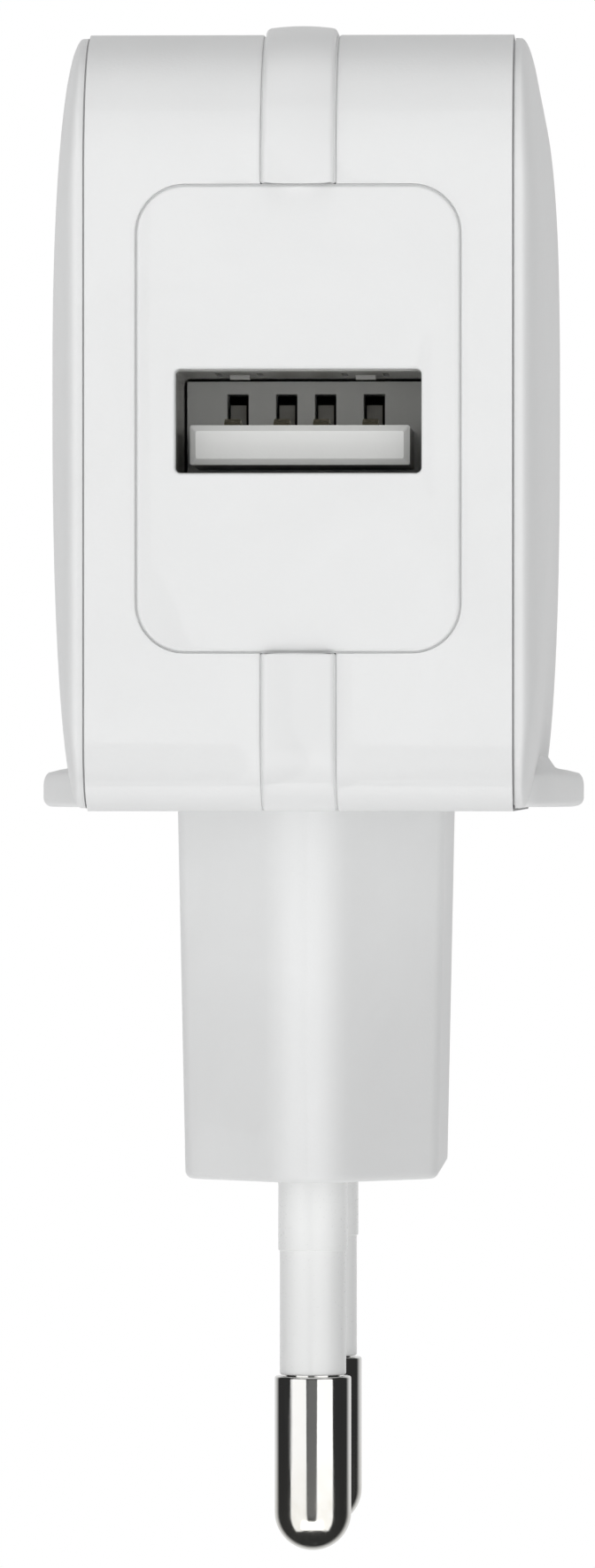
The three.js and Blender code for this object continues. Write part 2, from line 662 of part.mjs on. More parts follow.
const CORE_LENGTH = 8;
const CORE_SPAN = 14.5;
const CORE_BACK = 2.2;
const CORE_LEG = 2.05;
const CORE_POST = 4;
const CORE_THICKNESS = 5;
const BOBBIN_WALL = 0.55;
const BOBBIN_FLANGE = 0.8;
const BOBBIN_HEIGHT = 12;
const LEGS_TO_TRANSFORMER = 21.5;
const transformer = { y: USB_REAR_Y + LEGS_TO_TRANSFORMER, z: (INNER_FOOT_Z + INNER_TOP_Z) / 2 + 0.6, x: BOARD_X + 7.2 };
const windowHalf = CORE_SPAN / 2 - CORE_LEG;
const coreWindow = CORE_LENGTH - CORE_BACK;

function centred(halfSize, at) {
  return [at - halfSize, at + halfSize];
}

// One E-shaped half: a back and three legs that point towards the other half.
function ferriteHalf(side) {
  const { x, y, z } = transformer;
  const along = (from, to) => [y + side * from, y + side * to].sort((a, b) => a - b);
  const thick = centred(CORE_THICKNESS / 2, x);
  const bar = block(thick, along(SEAM / 2, CORE_LENGTH), centred(CORE_SPAN / 2, z));
  const windows = [-1, 1].map((way) => {
    const edges = [z + way * CORE_POST / 2, z + way * windowHalf].sort((a, b) => a - b);
    return block([-FAR, FAR], along(-1, coreWindow), edges);
  });
  return cut(bar, windows);
}

const bobbinEnd = coreWindow - SEAM;
const tubeX = CORE_THICKNESS / 2 + SEAM + BOBBIN_WALL;
const tubeZ = CORE_POST / 2 + SEAM + BOBBIN_WALL;

// A tube round the centre legs, a flange at each end, and a terminal block under each flange.
function bobbin() {
  const { x, y, z } = transformer;
  const flangeZ = windowHalf - SEAM;
  const tube = block(centred(tubeX, x), centred(bobbinEnd, y), centred(tubeZ, z));
  const ends = [-1, 1].flatMap((side) => {
    const near = y + side * (bobbinEnd - BOBBIN_FLANGE / 2);
    const flange = block(
      [x - BOBBIN_HEIGHT / 2, x + BOBBIN_HEIGHT / 2], centred(BOBBIN_FLANGE / 2, near), centred(flangeZ, z));
    const terminals = block([BOARD_X + SEAT, x - CORE_THICKNESS / 2 - 1.2],
      [near - BOBBIN_FLANGE / 2, near + BOBBIN_FLANGE / 2], centred(CORE_SPAN / 2, z));
    return [flange, terminals];
  });
  const legWay = block(
    centred(CORE_THICKNESS / 2 + SEAM, x), [-FAR, FAR], centred(CORE_POST / 2 + SEAM, z));
  return joined([tube, ...ends]).subtract(legWay);
}

// The taped coil between the flanges.
function winding() {
  const { x, y, z } = transformer;
  const outerX = BOBBIN_HEIGHT / 2 - 0.5;
  const outerZ = windowHalf - 0.3;
  const shape = roundedShape([x - outerX, x + outerX], [z - outerZ, z + outerZ], 1.6);
  shape.holes.push(roundedShape(
    [x - tubeX - SEAM, x + tubeX + SEAM], [z - tubeZ - SEAM, z + tubeZ + SEAM], 0.1));
  const reach = bobbinEnd - BOBBIN_FLANGE - SEAM;
  return prism(shape, 'y', [y - reach, y + reach], 3);
}

place('ferrite_core_front', 'ferrite', ferriteHalf(-1));
place('ferrite_core_rear', 'ferrite', ferriteHalf(1));
place('transformer_bobbin', 'resin', bobbin());
place('transformer_winding', 'tape', winding());

// ---- Parts on the board -------------------------------------------------------------------------

// A radial capacitor can, with a rolled groove near its foot and a rounded shoulder.
function capacitor(diameter, length, at) {
  const r = diameter / 2;
  return turnedOnBoard([
    [0, 0], [r - 0.3, 0], [r, 0.4], [r, 1.6], [r - 0.35, 2], [r, 2.4],
    [r, length - 0.6], [r - 0.6, length], [0, length],
  ], 18, at);
}

const rearRow = INNER_REAR_Y - 5.6;
const frontRow = USB_REAR_Y + 5;
place('bulk_capacitor_lower', 'can', capacitor(8, 12.5, [rearRow, INNER_FOOT_Z + 6.6]));
place('bulk_capacitor_upper', 'can', capacitor(8, 12.5, [rearRow, INNER_FOOT_Z + 15.2]));
place('output_capacitor_lower', 'can', capacitor(8, 12, [frontRow - 6.5, INNER_FOOT_Z + 7]));
place('output_capacitor_upper', 'can', capacitor(6.3, 11, [frontRow - 4.5, INNER_TOP_Z - 5.5]));

// A drum choke: two round flanges with a coil between them.
place('input_choke', 'copper', turnedOnBoard([
  [0, 0], [3, 0], [3, 1], [2.6, 1.2], [2.6, 6.8], [3, 7], [3, 8], [0, 8],
], 16, [rearRow, INNER_TOP_Z - 12.4]));

// An axial fusible resistor across the rear of the board's lower edge, on two bent wire legs.
function fusibleResistor() {
  const z = INNER_FOOT_Z + 7.4;
  const height = BOARD_X + 3.4;
  const length = 9;
  const from = 5.5;
  const barrel = turned([
    [0, 0], [1.2, 0], [1.7, 0.5], [1.7, 1.6], [1.5, 2], [1.5, length - 2], [1.7, length - 1.6],
    [1.7, length - 0.5], [1.2, length], [0, length],
  ], 14, [0, 0, 0]);
  const turnedBarrel = solidOf(geometryOf(barrel).rotateX(-Math.PI / 2).translate(height, from, z));
  const legs = [[from - 1.2, from + 0.2], [from + length - 0.2, from + length + 1.2]].flatMap(([y0, y1]) => {
    const outer = y0 < from ? y0 : y1 - 0.6;
    return [
      block([height - 0.3, height + 0.3], [y0, y1], [z - 0.3, z + 0.3]),
      block([BOARD_X + SEAT, height + 0.3], [outer, outer + 0.6], [z - 0.3, z + 0.3]),
    ];
  });
  return joined([turnedBarrel, ...legs]);
}

place('fusible_resistor', 'ceramic', fusibleResistor());

// A disc capacitor that bridges the two sides of the circuit, standing on two legs.
function safetyCapacitor() {
  const [y, z] = [transformer.y, INNER_TOP_Z - 4.4];
  const middle = BOARD_X + 5.4;
  const disc = prism(new THREE.Shape().absarc(middle, z, 3.5, 0, 2 * Math.PI), 'y', [y - 1.5, y + 1.5], 10, 0.5);
  const legs = [-2, 1.5].map((way) => block(
    [BOARD_X + SEAT, middle - 2], [y - 0.25, y + 0.25], [z + way, z + way + 0.5]));
  return joined([disc, ...legs]);
}

place('safety_capacitor', 'ceramic', safetyCapacitor());

// A moulded chip with a row of legs along its two long edges.
function chip([y, z], [length, width, height], pairs) {
  const foot = BOARD_X + SEAT;
  const shape = roundedShape([y - length / 2, y + length / 2], [z - width / 2, z + width / 2], 0.2);
  const body = prism(shape, 'x', [foot + 0.15, foot + height], 2, 0.12);
  const pitch = length / pairs;
  const legs = Array.from({ length: pairs }, (_, i) => {
    const at = y - length / 2 + (i + 0.5) * pitch;
    const wide = Math.min(0.6, pitch / 2) / 2;
    return block([foot, foot + 0.45], [at - wide, at + wide], [z - width / 2 - 0.9, z + width / 2 + 0.9]);
  });
  return joined([body, ...legs]);
}

place('controller_chip', 'resin', chip([transformer.y - 12.2, transformer.z - 3], [4.9, 3.9, 1.6], 4));
place('optocoupler', 'resin', chip([transformer.y - 11.6, INNER_TOP_Z - 5.2], [4.6, 6.4, 3.4], 2));
place('bridge_rectifier', 'resin', chip([rearRow - 8.5, INNER_TOP_Z - 4.6], [4.7, 4, 2.5], 2));
place('output_diode', 'resin', chip([INNER_FRONT_Y + 4.9, INNER_FOOT_Z + 7], [4.2, 6, 1.6], 1));

export default charger;
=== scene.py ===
# %% [markdown]
# A slim wall charger with a USB port: a white moulded housing on a flat two-pin plug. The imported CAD
# model is the fixed frame. Everything below either gives a CAD node a better finish or stands a smooth
# surface in its place, worked out from the frame's own boxes, so that nothing has to be fitted
# afterwards.

# %% Load the frame
import math

import bmesh
import bpy
import numpy as np
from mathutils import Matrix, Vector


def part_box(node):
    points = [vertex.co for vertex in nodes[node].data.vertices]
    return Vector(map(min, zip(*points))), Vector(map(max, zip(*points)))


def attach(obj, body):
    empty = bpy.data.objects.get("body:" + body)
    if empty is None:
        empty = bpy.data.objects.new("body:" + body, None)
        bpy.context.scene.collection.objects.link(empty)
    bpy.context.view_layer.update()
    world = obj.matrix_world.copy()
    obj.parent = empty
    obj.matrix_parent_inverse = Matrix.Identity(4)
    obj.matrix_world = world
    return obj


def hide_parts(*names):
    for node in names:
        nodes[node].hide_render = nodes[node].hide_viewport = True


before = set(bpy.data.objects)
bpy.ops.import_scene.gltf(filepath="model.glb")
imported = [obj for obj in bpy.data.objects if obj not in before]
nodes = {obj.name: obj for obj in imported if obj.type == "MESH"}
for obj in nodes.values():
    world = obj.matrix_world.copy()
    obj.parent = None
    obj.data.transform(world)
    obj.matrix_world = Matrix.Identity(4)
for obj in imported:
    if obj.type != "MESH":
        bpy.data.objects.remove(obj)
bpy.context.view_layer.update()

MM = 0.001
BODY = "charger"

# %% [markdown]
# The camera stands level with the foot of the housing and a touch to the right of the middle, far enough
# away for the port, the stem and the two pins to look almost flat on. A long lens does that. It could be
# an orthographic camera, but then the rear pin would hide behind the front one, and here a sliver of it
# has to show.

# %% Camera
SHELL_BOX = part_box("shell_right")
CAMERA_TURN = math.radians(2.0)
CAMERA_DISTANCE = 574.5 * MM
CAMERA_SIDE = -1.14 * MM
CAMERA_HEIGHT = SHELL_BOX[0][2] + 1.38 * MM
SENSOR = 36.0
LENS = 247.9


def place_camera():
    """Right = (cos a, sin a) and forward = (-sin a, cos a). The camera sits at side * right - distance *
    forward and looks along forward."""
    right = np.array([math.cos(CAMERA_TURN), math.sin(CAMERA_TURN)])
    forward = np.array([-math.sin(CAMERA_TURN), math.cos(CAMERA_TURN)])
    spot = CAMERA_SIDE * right - CAMERA_DISTANCE * forward
    data = bpy.data.cameras.new("camera")
    data.sensor_width = SENSOR
    data.lens = LENS
    data.clip_start = 0.01
    data.clip_end = 20
    camera = bpy.data.objects.new("camera", data)
    camera.location = (spot[0], spot[1], CAMERA_HEIGHT)
    camera.rotation_euler = (math.pi / 2, 0, CAMERA_TURN)
    bpy.context.scene.collection.objects.link(camera)
    bpy.context.scene.camera = camera
    print("camera at", [round(value, 4) for value in camera.location])


place_camera()

# %% [markdown]
# All new surfaces are grids of points: rows one way, columns the other, and a quad in each cell. Every
# grid wraps round its columns. A row that shrinks to one point closes a pole, and a grid that wraps its
# rows too is a ring. The points are computed as whole arrays, which is quick and keeps each shape in one
# formula. Spare points at poles are merged before the faces are turned outwards, because a doubled point
# would leave a slit.

# %% Grid to mesh
MERGE = 1e-7
SHARP = math.radians(38)


def tidy_mesh(mesh):
    """Merges doubled points, drops faces without area, turns faces outwards and keeps sharp folds
    crisp."""
    work = bmesh.new()
    work.from_mesh(mesh)
    bmesh.ops.remove_doubles(work, verts=work.verts, dist=MERGE)
    bmesh.ops.dissolve_degenerate(work, edges=work.edges, dist=MERGE)
    bmesh.ops.recalc_face_normals(work, faces=work.faces)
    work.to_mesh(mesh)
    work.free()
    mesh.shade_smooth()
    mesh.set_sharp_from_angle(angle=SHARP)


def skin(name, grid, across=False):
    """grid[row, column] = (x, y, z), a quad in each cell. The last column joins the first, and with
    across the last row joins the first too."""
    rows, columns, _ = grid.shape
    index = np.arange(rows * columns).reshape(rows, columns)
    index = np.concatenate([index, index[:, :1]], axis=1)
    if across:
        index = np.concatenate([index, index[:1]], axis=0)
    corners = [index[:-1, :-1], index[:-1, 1:], index[1:, 1:], index[1:, :-1]]
    quads = np.stack(corners, axis=-1).reshape(-1, 4)
    mesh = bpy.data.meshes.new(name)
    mesh.from_pydata(grid.reshape(-1, 3).tolist(), [], quads.tolist())
    tidy_mesh(mesh)
    made = bpy.data.objects.new(name, mesh)
    bpy.context.scene.collection.objects.link(made)
    print(name, len(mesh.polygons), "faces")
    return made


def stacked(x, y, z):
    """Broadcasts three arrays to one grid of points."""
    return np.stack(np.broadcast_arrays(x, y, z), axis=-1)


def merged(main, other, operation):
    """Joins or cuts one closed piece with another by an exact boolean, and keeps only the result."""
    modifier = main.modifiers.new("boolean", "BOOLEAN")
    modifier.object = other
    modifier.operation = operation
    modifier.solver = "EXACT"
    graph = bpy.context.evaluated_depsgraph_get()
    mesh = bpy.data.meshes.new_from_object(main.evaluated_get(graph))
    main.modifiers.clear()
    main.data = mesh
    bpy.data.objects.remove(other)
    tidy_mesh(mesh)
    print(main.name, operation.lower(), len(mesh.polygons), "faces")
    return main


def finished(piece, node):
    """The piece rides on the charger's body and stands for the CAD node, which is hidden."""
    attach(piece, BODY)
    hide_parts(node)
    return piece


# %% [markdown]
# Small roundings are what make moulded parts look moulded: each edge catches a thin line of light. A
# quarter turn of a circle is used for all of them, as two numbers per step: how far it has moved in and
# how far it has dropped.

# %% Quarter roundings
ROUND_STEPS = 6
quarter_turn = np.linspace(0, math.pi / 2, ROUND_STEPS)
RISING = 1 - np.cos(quarter_turn)
FALLING = 1 - np.sin(quarter_turn)
print("rounding steps:", ROUND_STEPS)

# %% [markdown]
# Two outlines carry most of the shapes. The first is a rounded rectangle with a fixed count of points on
# each side and corner, so that a small one and a large one match point for point.

# %% A rounded rectangle
SIDE_POINTS = 24
CORNER_POINTS = 12
side_share = np.concatenate([np.arange(SIDE_POINTS) / SIDE_POINTS, np.ones(CORNER_POINTS)])
turn_share = np.concatenate([np.zeros(SIDE_POINTS), np.arange(CORNER_POINTS) / CORNER_POINTS])
RING_SIDE = np.repeat(np.arange(4), SIDE_POINTS + CORNER_POINTS)
RING_SLIDE = np.tile(side_share, 4)
RING_TURN = np.tile(turn_share, 4) * math.pi / 2


def rounded_ring(left, right, foot, top, low, high):
    """A rounded rectangle, anticlockwise from the lower left, with radius low at its two lower corners
    and high at its upper ones. Along a side the point slides from one corner's end to the next corner's
    start. On a corner it is the corner's centre plus the radius times (cos, sin) of the turning angle."""
    starts = [(left + low, foot), (right, foot + low), (right - high, top), (left, top - high)]
    ends = [(right - low, foot), (right, top - high), (left + high, top), (left, foot + low)]
    centres = [(right - low, foot + low), (right - high, top - high),
               (left + high, top - high), (left + low, foot + low)]
    radii = [low, high, high, low]
    u = 0.0
    v = 0.0
    for side in range(4):
        here = RING_SIDE == side
        bent = RING_SLIDE >= 1
        angle = RING_TURN + (side - 1) * math.pi / 2
        straight_u = starts[side][0] + (ends[side][0] - starts[side][0]) * RING_SLIDE
        straight_v = starts[side][1] + (ends[side][1] - starts[side][1]) * RING_SLIDE
        bent_u = centres[side][0] + radii[side] * np.cos(angle)
        bent_v = centres[side][1] + radii[side] * np.sin(angle)
        u = u + np.where(here, np.where(bent, bent_u, straight_u), 0)
        v = v + np.where(here, np.where(bent, bent_v, straight_v), 0)
    return u, v


print("points in a ring:", len(RING_SIDE))

# %% [markdown]
# The second outline walks round the housing's side view, which is what the frame and the centre band
# follow. It is a list of straight parts and quarter circles, each with its length and its radius.

# %% The housing's side outline
FRONT, REAR = SHELL_BOX[0][1], SHELL_BOX[1][1]
FOOT, TOP = SHELL_BOX[0][2], SHELL_BOX[1][2]
CREASE = SHELL_BOX[1][0]
FOOT_RADIUS = 3.6 * MM
TOP_RADIUS = 7.3 * MM
FACE_RUN = TOP - FOOT - FOOT_RADIUS - TOP_RADIUS
ROOF_RUN = REAR - FRONT - 2 * TOP_RADIUS
FLOOR_RUN = REAR - FRONT - 2 * FOOT_RADIUS
TOP_CORNER = (TOP_RADIUS * math.pi / 2, TOP_RADIUS)
FOOT_CORNER = (FOOT_RADIUS * math.pi / 2, FOOT_RADIUS)
OUTLINE_PARTS = [(FACE_RUN, 0), TOP_CORNER, (ROOF_RUN, 0), TOP_CORNER,
                 (FACE_RUN, 0), FOOT_CORNER, (FLOOR_RUN, 0), FOOT_CORNER]
OUTLINE_LENGTH = sum(length for length, _ in OUTLINE_PARTS)
FLOOR_START = OUTLINE_LENGTH - FLOOR_RUN - FOOT_CORNER[0]


def body_outline(walk, raised):
    """Walks round the housing from the foot of the flat front: up, over the top, down the back and
    forward under the foot. With heading a, outwards is (-sin a, cos a). A straight part slides along its
    heading, and a corner of radius r turns the heading by walk / r and moves r times the change of the
    outward direction. raised adds that much of the outward direction. Returns y and z."""
    walk = np.mod(walk, OUTLINE_LENGTH)
    y = np.zeros_like(walk)
    z = np.zeros_like(walk)
    start = 0.0
    at_y, at_z, heading = FRONT, FOOT + FOOT_RADIUS, math.pi / 2
    for length, radius in OUTLINE_PARTS:
        here = (walk >= start) & (walk < start + length)
        gone = walk - start
        slide = 0 if radius else 1
        angle = heading - (gone / radius if radius else 0 * gone)
        side_y, side_z = -math.sin(heading), math.cos(heading)
        y_here = at_y + slide * gone * math.cos(heading) - radius * (np.sin(angle) + side_y)
        z_here = at_z + slide * gone * math.sin(heading) + radius * (np.cos(angle) - side_z)
        y_here = y_here - raised * np.sin(angle)
        z_here = z_here + raised * np.cos(angle)
        y = np.where(here, y_here, y)
        z = np.where(here, z_here, z)
        end = heading - (length / radius if radius else 0)
        at_y += slide * length * math.cos(heading) - radius * (math.sin(end) + side_y)
        at_z += slide * length * math.sin(heading) + radius * (math.cos(end) - side_z)
        heading = end
        start += length
    return y, z


print("outline length", round(OUTLINE_LENGTH / MM, 2), "mm")

# %% [markdown]
# Each half of the housing is a moulded tray: one flat wall, and a rim that follows the outline and stops
# at the centre band, round the panel's window and round the neck of the plug. It could be cut out of a
# block, but then every rounding is a chore. Unrolled, the rim is a strip between two curves, the window
# side and the crease, so it is laid out flat in (walk, x) and bent round the outline afterwards.

# %% The strip's two edges
SEAM = 0.1 * MM
TOUCH = 0.01 * MM
GROOVE_DEPTH = 0.1 * MM
WALL = 1.8 * MM
SIDE_WALL = 1.3 * MM
RIM_STEP = 0.5 * MM
PANEL_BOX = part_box("front_panel")
BAND_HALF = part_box("band_upper")[1][0]
NECK_HALF = 5.8 * MM
NECK_FLAT = 11.7 * MM
NECK_END = 15.4 * MM
PANEL_RADIUS = 2.4 * MM
FAN = 2.2 * MM
REJOIN = 7 * MM
FACE_ZERO = FOOT + FOOT_RADIUS


def straight(start, end):
    """Points from start up to, but without, end, one about every RIM_STEP."""
    start = np.array(start)
    end = np.array(end)
    count = max(2, int(np.linalg.norm(end - start) / RIM_STEP))
    return start + (end - start) * (np.arange(count) / count)[:, None]


def corner(centre, radius, first_angle, crease_from, crease_to):
    """A quarter circle, clockwise, in the unrolled plane. Its third number is the matching place on the
    crease."""
    share = np.arange(CORNER_POINTS) / CORNER_POINTS
    angle = first_angle - share * math.pi / 2
    crease = crease_from + (crease_to - crease_from) * share
    walk = centre[0] + radius * np.cos(angle)
    return np.stack([walk, centre[1] + radius * np.sin(angle), crease], axis=-1)


def strip_edges():
    """Three columns: walk and x on the window side, and walk on the crease. Along the window's two short
    sides the crease fans out, so that no column runs along the edge itself."""
    groove = BAND_HALF + SEAM
    low = PANEL_BOX[0][2] - SEAM - FACE_ZERO
    high = PANEL_BOX[1][2] + SEAM - FACE_ZERO
    side = PANEL_BOX[1][0] + SEAM
    radius = PANEL_RADIUS + SEAM
    middle = FLOOR_START + FLOOR_RUN / 2
    necks = [(-NECK_END, groove), (-NECK_FLAT, NECK_HALF), (NECK_FLAT, NECK_HALF), (NECK_END, groove)]
    floor = [(middle + along, x, middle + along) for along, x in necks]
    stops = [(high + REJOIN, groove, high + REJOIN)] + floor + [(OUTLINE_LENGTH, groove, OUTLINE_LENGTH)]
    return np.concatenate([
        straight((0, groove, 0), (low, groove, low - FAN)),
        straight((low, groove, low - FAN), (low, side - radius, low - FAN / 4)),
        corner((low + radius, side - radius), radius, math.pi, low - FAN / 4, low + radius),
        straight((low + radius, side, low + radius), (high - radius, side, high - radius)),
        corner((high - radius, side - radius), radius, math.pi / 2, high - radius, high + FAN / 4),
        straight((high, side - radius, high + FAN / 4), (high, groove, high + FAN)),
        straight((high, groove, high + FAN), stops[0]),
    ] + [straight(first, second) for first, second in zip(stops[:-1], stops[1:])])


EDGES = strip_edges()
print("columns round the housing:", len(EDGES))

# %% [markdown]
# With both edges known, the rim is a few rows between them, bent round the outline. At both edges the rows
# turn inwards by small roundings. One side then closes in the middle of the flat wall's inner face and the
# other in the middle of its outer face, so that each half is one sealed skin.

# %% The housing's two halves
LIP_RADIUS = 0.12 * MM
CREASE_RADIUS = 0.35 * MM
FACE_ROWS = 9


def half_shell(name, side, node):
    """Rows from the middle of the inner wall, out along the inside, up the lip, across the face, over the
    crease and back to the middle of the outer wall. A face row at share w is inner + (crease - inner) *
    w."""
    walk_in, x_in, walk_out = EDGES.T
    x_out = CREASE - CREASE_RADIUS
    run_walk = walk_out - walk_in
    run_x = x_out - x_in
    reach = np.hypot(run_walk, run_x)
    middle_y = np.full_like(walk_in, (FRONT + REAR) / 2)
    middle_z = np.full_like(walk_in, (FOOT + TOP) / 2)
    level = np.ones_like(walk_in)
    rows = [
        stacked((CREASE - SIDE_WALL) * level, middle_y, middle_z),
        stacked((CREASE - SIDE_WALL) * level, *body_outline(walk_out, -WALL)),
        stacked(x_in, *body_outline(walk_in, -WALL)),
    ]
    for moved, dropped in zip(LIP_RADIUS * RISING, LIP_RADIUS * FALLING):
        share = moved / reach
        rows.append(stacked(x_in + run_x * share, *body_outline(walk_in + run_walk * share, -dropped)))
    first_share = LIP_RADIUS / reach
    for step in np.linspace(0, 1, FACE_ROWS)[1:]:
        share = first_share + (1 - first_share) * step
        rows.append(stacked(x_in + run_x * share, *body_outline(walk_in + run_walk * share, 0 * level)))
    for moved, dropped in zip(CREASE_RADIUS * FALLING[::-1], CREASE_RADIUS * RISING):
        rows.append(stacked((CREASE - moved) * level, *body_outline(walk_out, -dropped * level)))
    rows.append(stacked(CREASE * level, *body_outline(walk_out, -WALL * level)))
    rows.append(stacked(CREASE * level, middle_y, middle_z))
    grid = np.stack(rows)
    grid[..., 0] *= side
    return finished(skin(name, grid), node)


halves = [half_shell("housing_half_right", 1, "shell_right"),
          half_shell("housing_half_left", -1, "shell_left")]

# %% [markdown]
# The side covers are shallow domes. Each of the four edges rises in its own quarter ellipse, steep at the
# rim and flat in the middle, which gives the broad soft highlight of a moulded shell. Scaling one curve
# would make all edges alike, so instead a ring of the outline closes in, by a different run on each side,
# as it rises.

# %% Side covers
COVER_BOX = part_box("side_cover_right")
COVER_BASE = COVER_BOX[0][0]
COVER_NOTCH = 0.15 * MM
COVER_RIM = 0.25 * MM
COVER_RISE = 1.9 * MM
RUNS = {"front": 8 * MM, "rear": 28 * MM, "foot": 21.5 * MM, "top": 15.5 * MM}
RADIUS_LOSS = 3 * MM
COVER_STEP = 0.008
DOME_ROWS = 26
GRIP_REACH = COVER_BOX[1][0]
GRIP_END = 23 * MM
GRIP_FLAT = 10 * MM
GRIP_FOOT = FOOT + 0.2 * MM
CORNER_LIMIT = 0.45


def cover_dome(name):
    """At a turn a from 0 to 90 degrees the ring has risen by sin a and closed in by run * (1 - cos a).
    Behind the rim the back steps towards the frame, as a stepped joint does, so that the seam is a
    shallow groove."""
    turn = np.linspace(0, math.pi / 2, DOME_ROWS)[:, None]
    closed = 1 - np.cos(turn)
    low = FOOT + COVER_NOTCH + closed * RUNS["foot"]
    high = TOP - COVER_NOTCH - closed * RUNS["top"]
    limit = (high - low) * CORNER_LIMIT
    front = FRONT + COVER_NOTCH + closed * RUNS["front"]
    rear = REAR - COVER_NOTCH - closed * RUNS["rear"]
    top_radius = np.maximum(FOOT_RADIUS, TOP_RADIUS - closed * RADIUS_LOSS)
    y, z = rounded_ring(front, rear, low, high, np.minimum(limit, FOOT_RADIUS), np.minimum(limit, top_radius))
    x = COVER_BASE + COVER_RIM + (COVER_RISE - COVER_RIM) * np.sin(turn)
    dome = stacked(x, y, z)
    middle = dome[-1:].mean(axis=(0, 1))
    inward = dome[:1] + (middle - dome[:1]) * [0, COVER_STEP, COVER_STEP]
    edge = dome[:1] * [0, 1, 1] + [COVER_BASE, 0, 0]
    step = inward * [0, 1, 1] + [COVER_BASE, 0, 0]
    lip = inward * [0, 1, 1] + [CREASE + TOUCH, 0, 0]
    bottom = np.broadcast_to(lip.mean(axis=(0, 1)), lip.shape)
    crown = np.broadcast_to(middle, lip.shape)
    return skin(name, np.concatenate([bottom, lip, step, edge, dome, crown]))


def bezier(first, second, third, fourth, count):
    """A cubic curve's points: each control point weighted by its Bernstein polynomial."""
    t = (np.arange(count) / count)[:, None]
    weights = [(1 - t) ** 3, 3 * t * (1 - t) ** 2, 3 * t ** 2 * (1 - t), t ** 3]
    return sum(weight * np.array(point) for weight, point in zip(weights, (first, second, third, fourth)))


print("covers rise", round(COVER_RISE / MM, 2), "mm")

# %% [markdown]
# Along the foot of each cover runs a low ridge that fingers pull on. It has a flat front, a rounded outer
# edge and a small hollow fillet where it grows out of the cover. It is made as stacked copies of its
# plan, drawn in or out by the ridge's own profile, and then joined to the dome so that the cover is one
# closed piece.

# %% Pull grips
GRIP_BULGE = 1.6 * MM
GRIP_LOWER = 0.45 * MM
GRIP_UPPER_IN, GRIP_UPPER_DROP = 0.38 * MM, 0.7 * MM
GRIP_SHOULDER = 1.8 * MM
GRIP_CURVE_POINTS = 34
GRIP_SLOPE = np.array([[0.9, 1.93], [1.42, 2.02], [1.56, 2.1], [1.66, 2.24], [1.9, 2.6], [2.6, 2.9]]) * MM


def grip_profile():
    """How far in, and how high, each copy of the plan sits: rounded foot, upright face, elliptic
    shoulder, gentle slope, hollow fillet, and a last copy inside the dome."""
    foot_in = GRIP_LOWER * FALLING
    foot_up = GRIP_LOWER * RISING
    shoulder_in = GRIP_UPPER_IN * RISING
    shoulder_up = GRIP_SHOULDER - GRIP_UPPER_DROP * FALLING
    drawn_in = np.concatenate([foot_in, shoulder_in, GRIP_SLOPE[:, 0]])
    raised = np.concatenate([foot_up, shoulder_up, GRIP_SLOPE[:, 1]])
    return drawn_in[:, None], raised[:, None]


def grip_ridge(name):
    """The plan runs out of the cover, along the flat and back in by two cubic curves, and closes behind
    it."""
    drawn_in, raised = grip_profile()
    flat = np.linspace(-GRIP_FLAT, GRIP_FLAT, GRIP_CURVE_POINTS)[:, None]
    root = COVER_BASE + SEAM
    middle = (GRIP_END + GRIP_FLAT) / 2
    out = bezier((root, -GRIP_END), (root + GRIP_BULGE, -GRIP_END), (GRIP_REACH, -middle),
                 (GRIP_REACH, -GRIP_FLAT), GRIP_CURVE_POINTS)
    along = np.concatenate([np.full_like(flat, GRIP_REACH), flat], axis=1)[:-1]
    back = (out * [1, -1])[::-1]
    plan = np.concatenate([out, along, back])
    outward = (plan[:, 0] - root) / (GRIP_REACH - root)
    endward = plan[:, 1] / GRIP_END
    x = plan[:, 0] - drawn_in * outward
    y = plan[:, 1] - drawn_in * endward
    sides = stacked(x, y, GRIP_FOOT + raised)
    foot = np.broadcast_to(sides[:1].mean(axis=(0, 1)), sides[:1].shape)
    roof = np.broadcast_to(sides[-1:].mean(axis=(0, 1)), sides[:1].shape)
    return skin(name, np.concatenate([foot, sides, roof]))


def side_cover(name, side, node):
    """The dome and its ridge as one piece, mirrored for the left side."""
    cover = merged(cover_dome(name), grip_ridge(name + "_grip"), "UNION")
    points = np.empty(len(cover.data.vertices) * 3)
    cover.data.vertices.foreach_get("co", points)
    points = points.reshape(-1, 3) * [side, 1, 1]
    cover.data.vertices.foreach_set("co", points.ravel())
    tidy_mesh(cover.data)
    return finished(cover, node)


covers = [side_cover("domed_cover_right", 1, "side_cover_right"),
          side_cover("domed_cover_left", -1, "side_cover_left")]

# %% [markdown]
# The front panel is a plate with rounded corners and a port opening. Its section is one closed profile:
# back, outer edge, face, port edge and back again. Each point of it belongs either to the plate's outline
# or to the opening's, so carrying the profile round both at once closes the plate like a flat tyre.

# %% Front panel
PORT_HALF = 6.2 * MM
PORT_HEIGHT = 5.27 * MM
PORT_MIDDLE = FOOT + 19.63 * MM
PORT_RADIUS = 0.3 * MM
PORT_EDGE = 0.14 * MM
PANEL_EDGE = 0.16 * MM


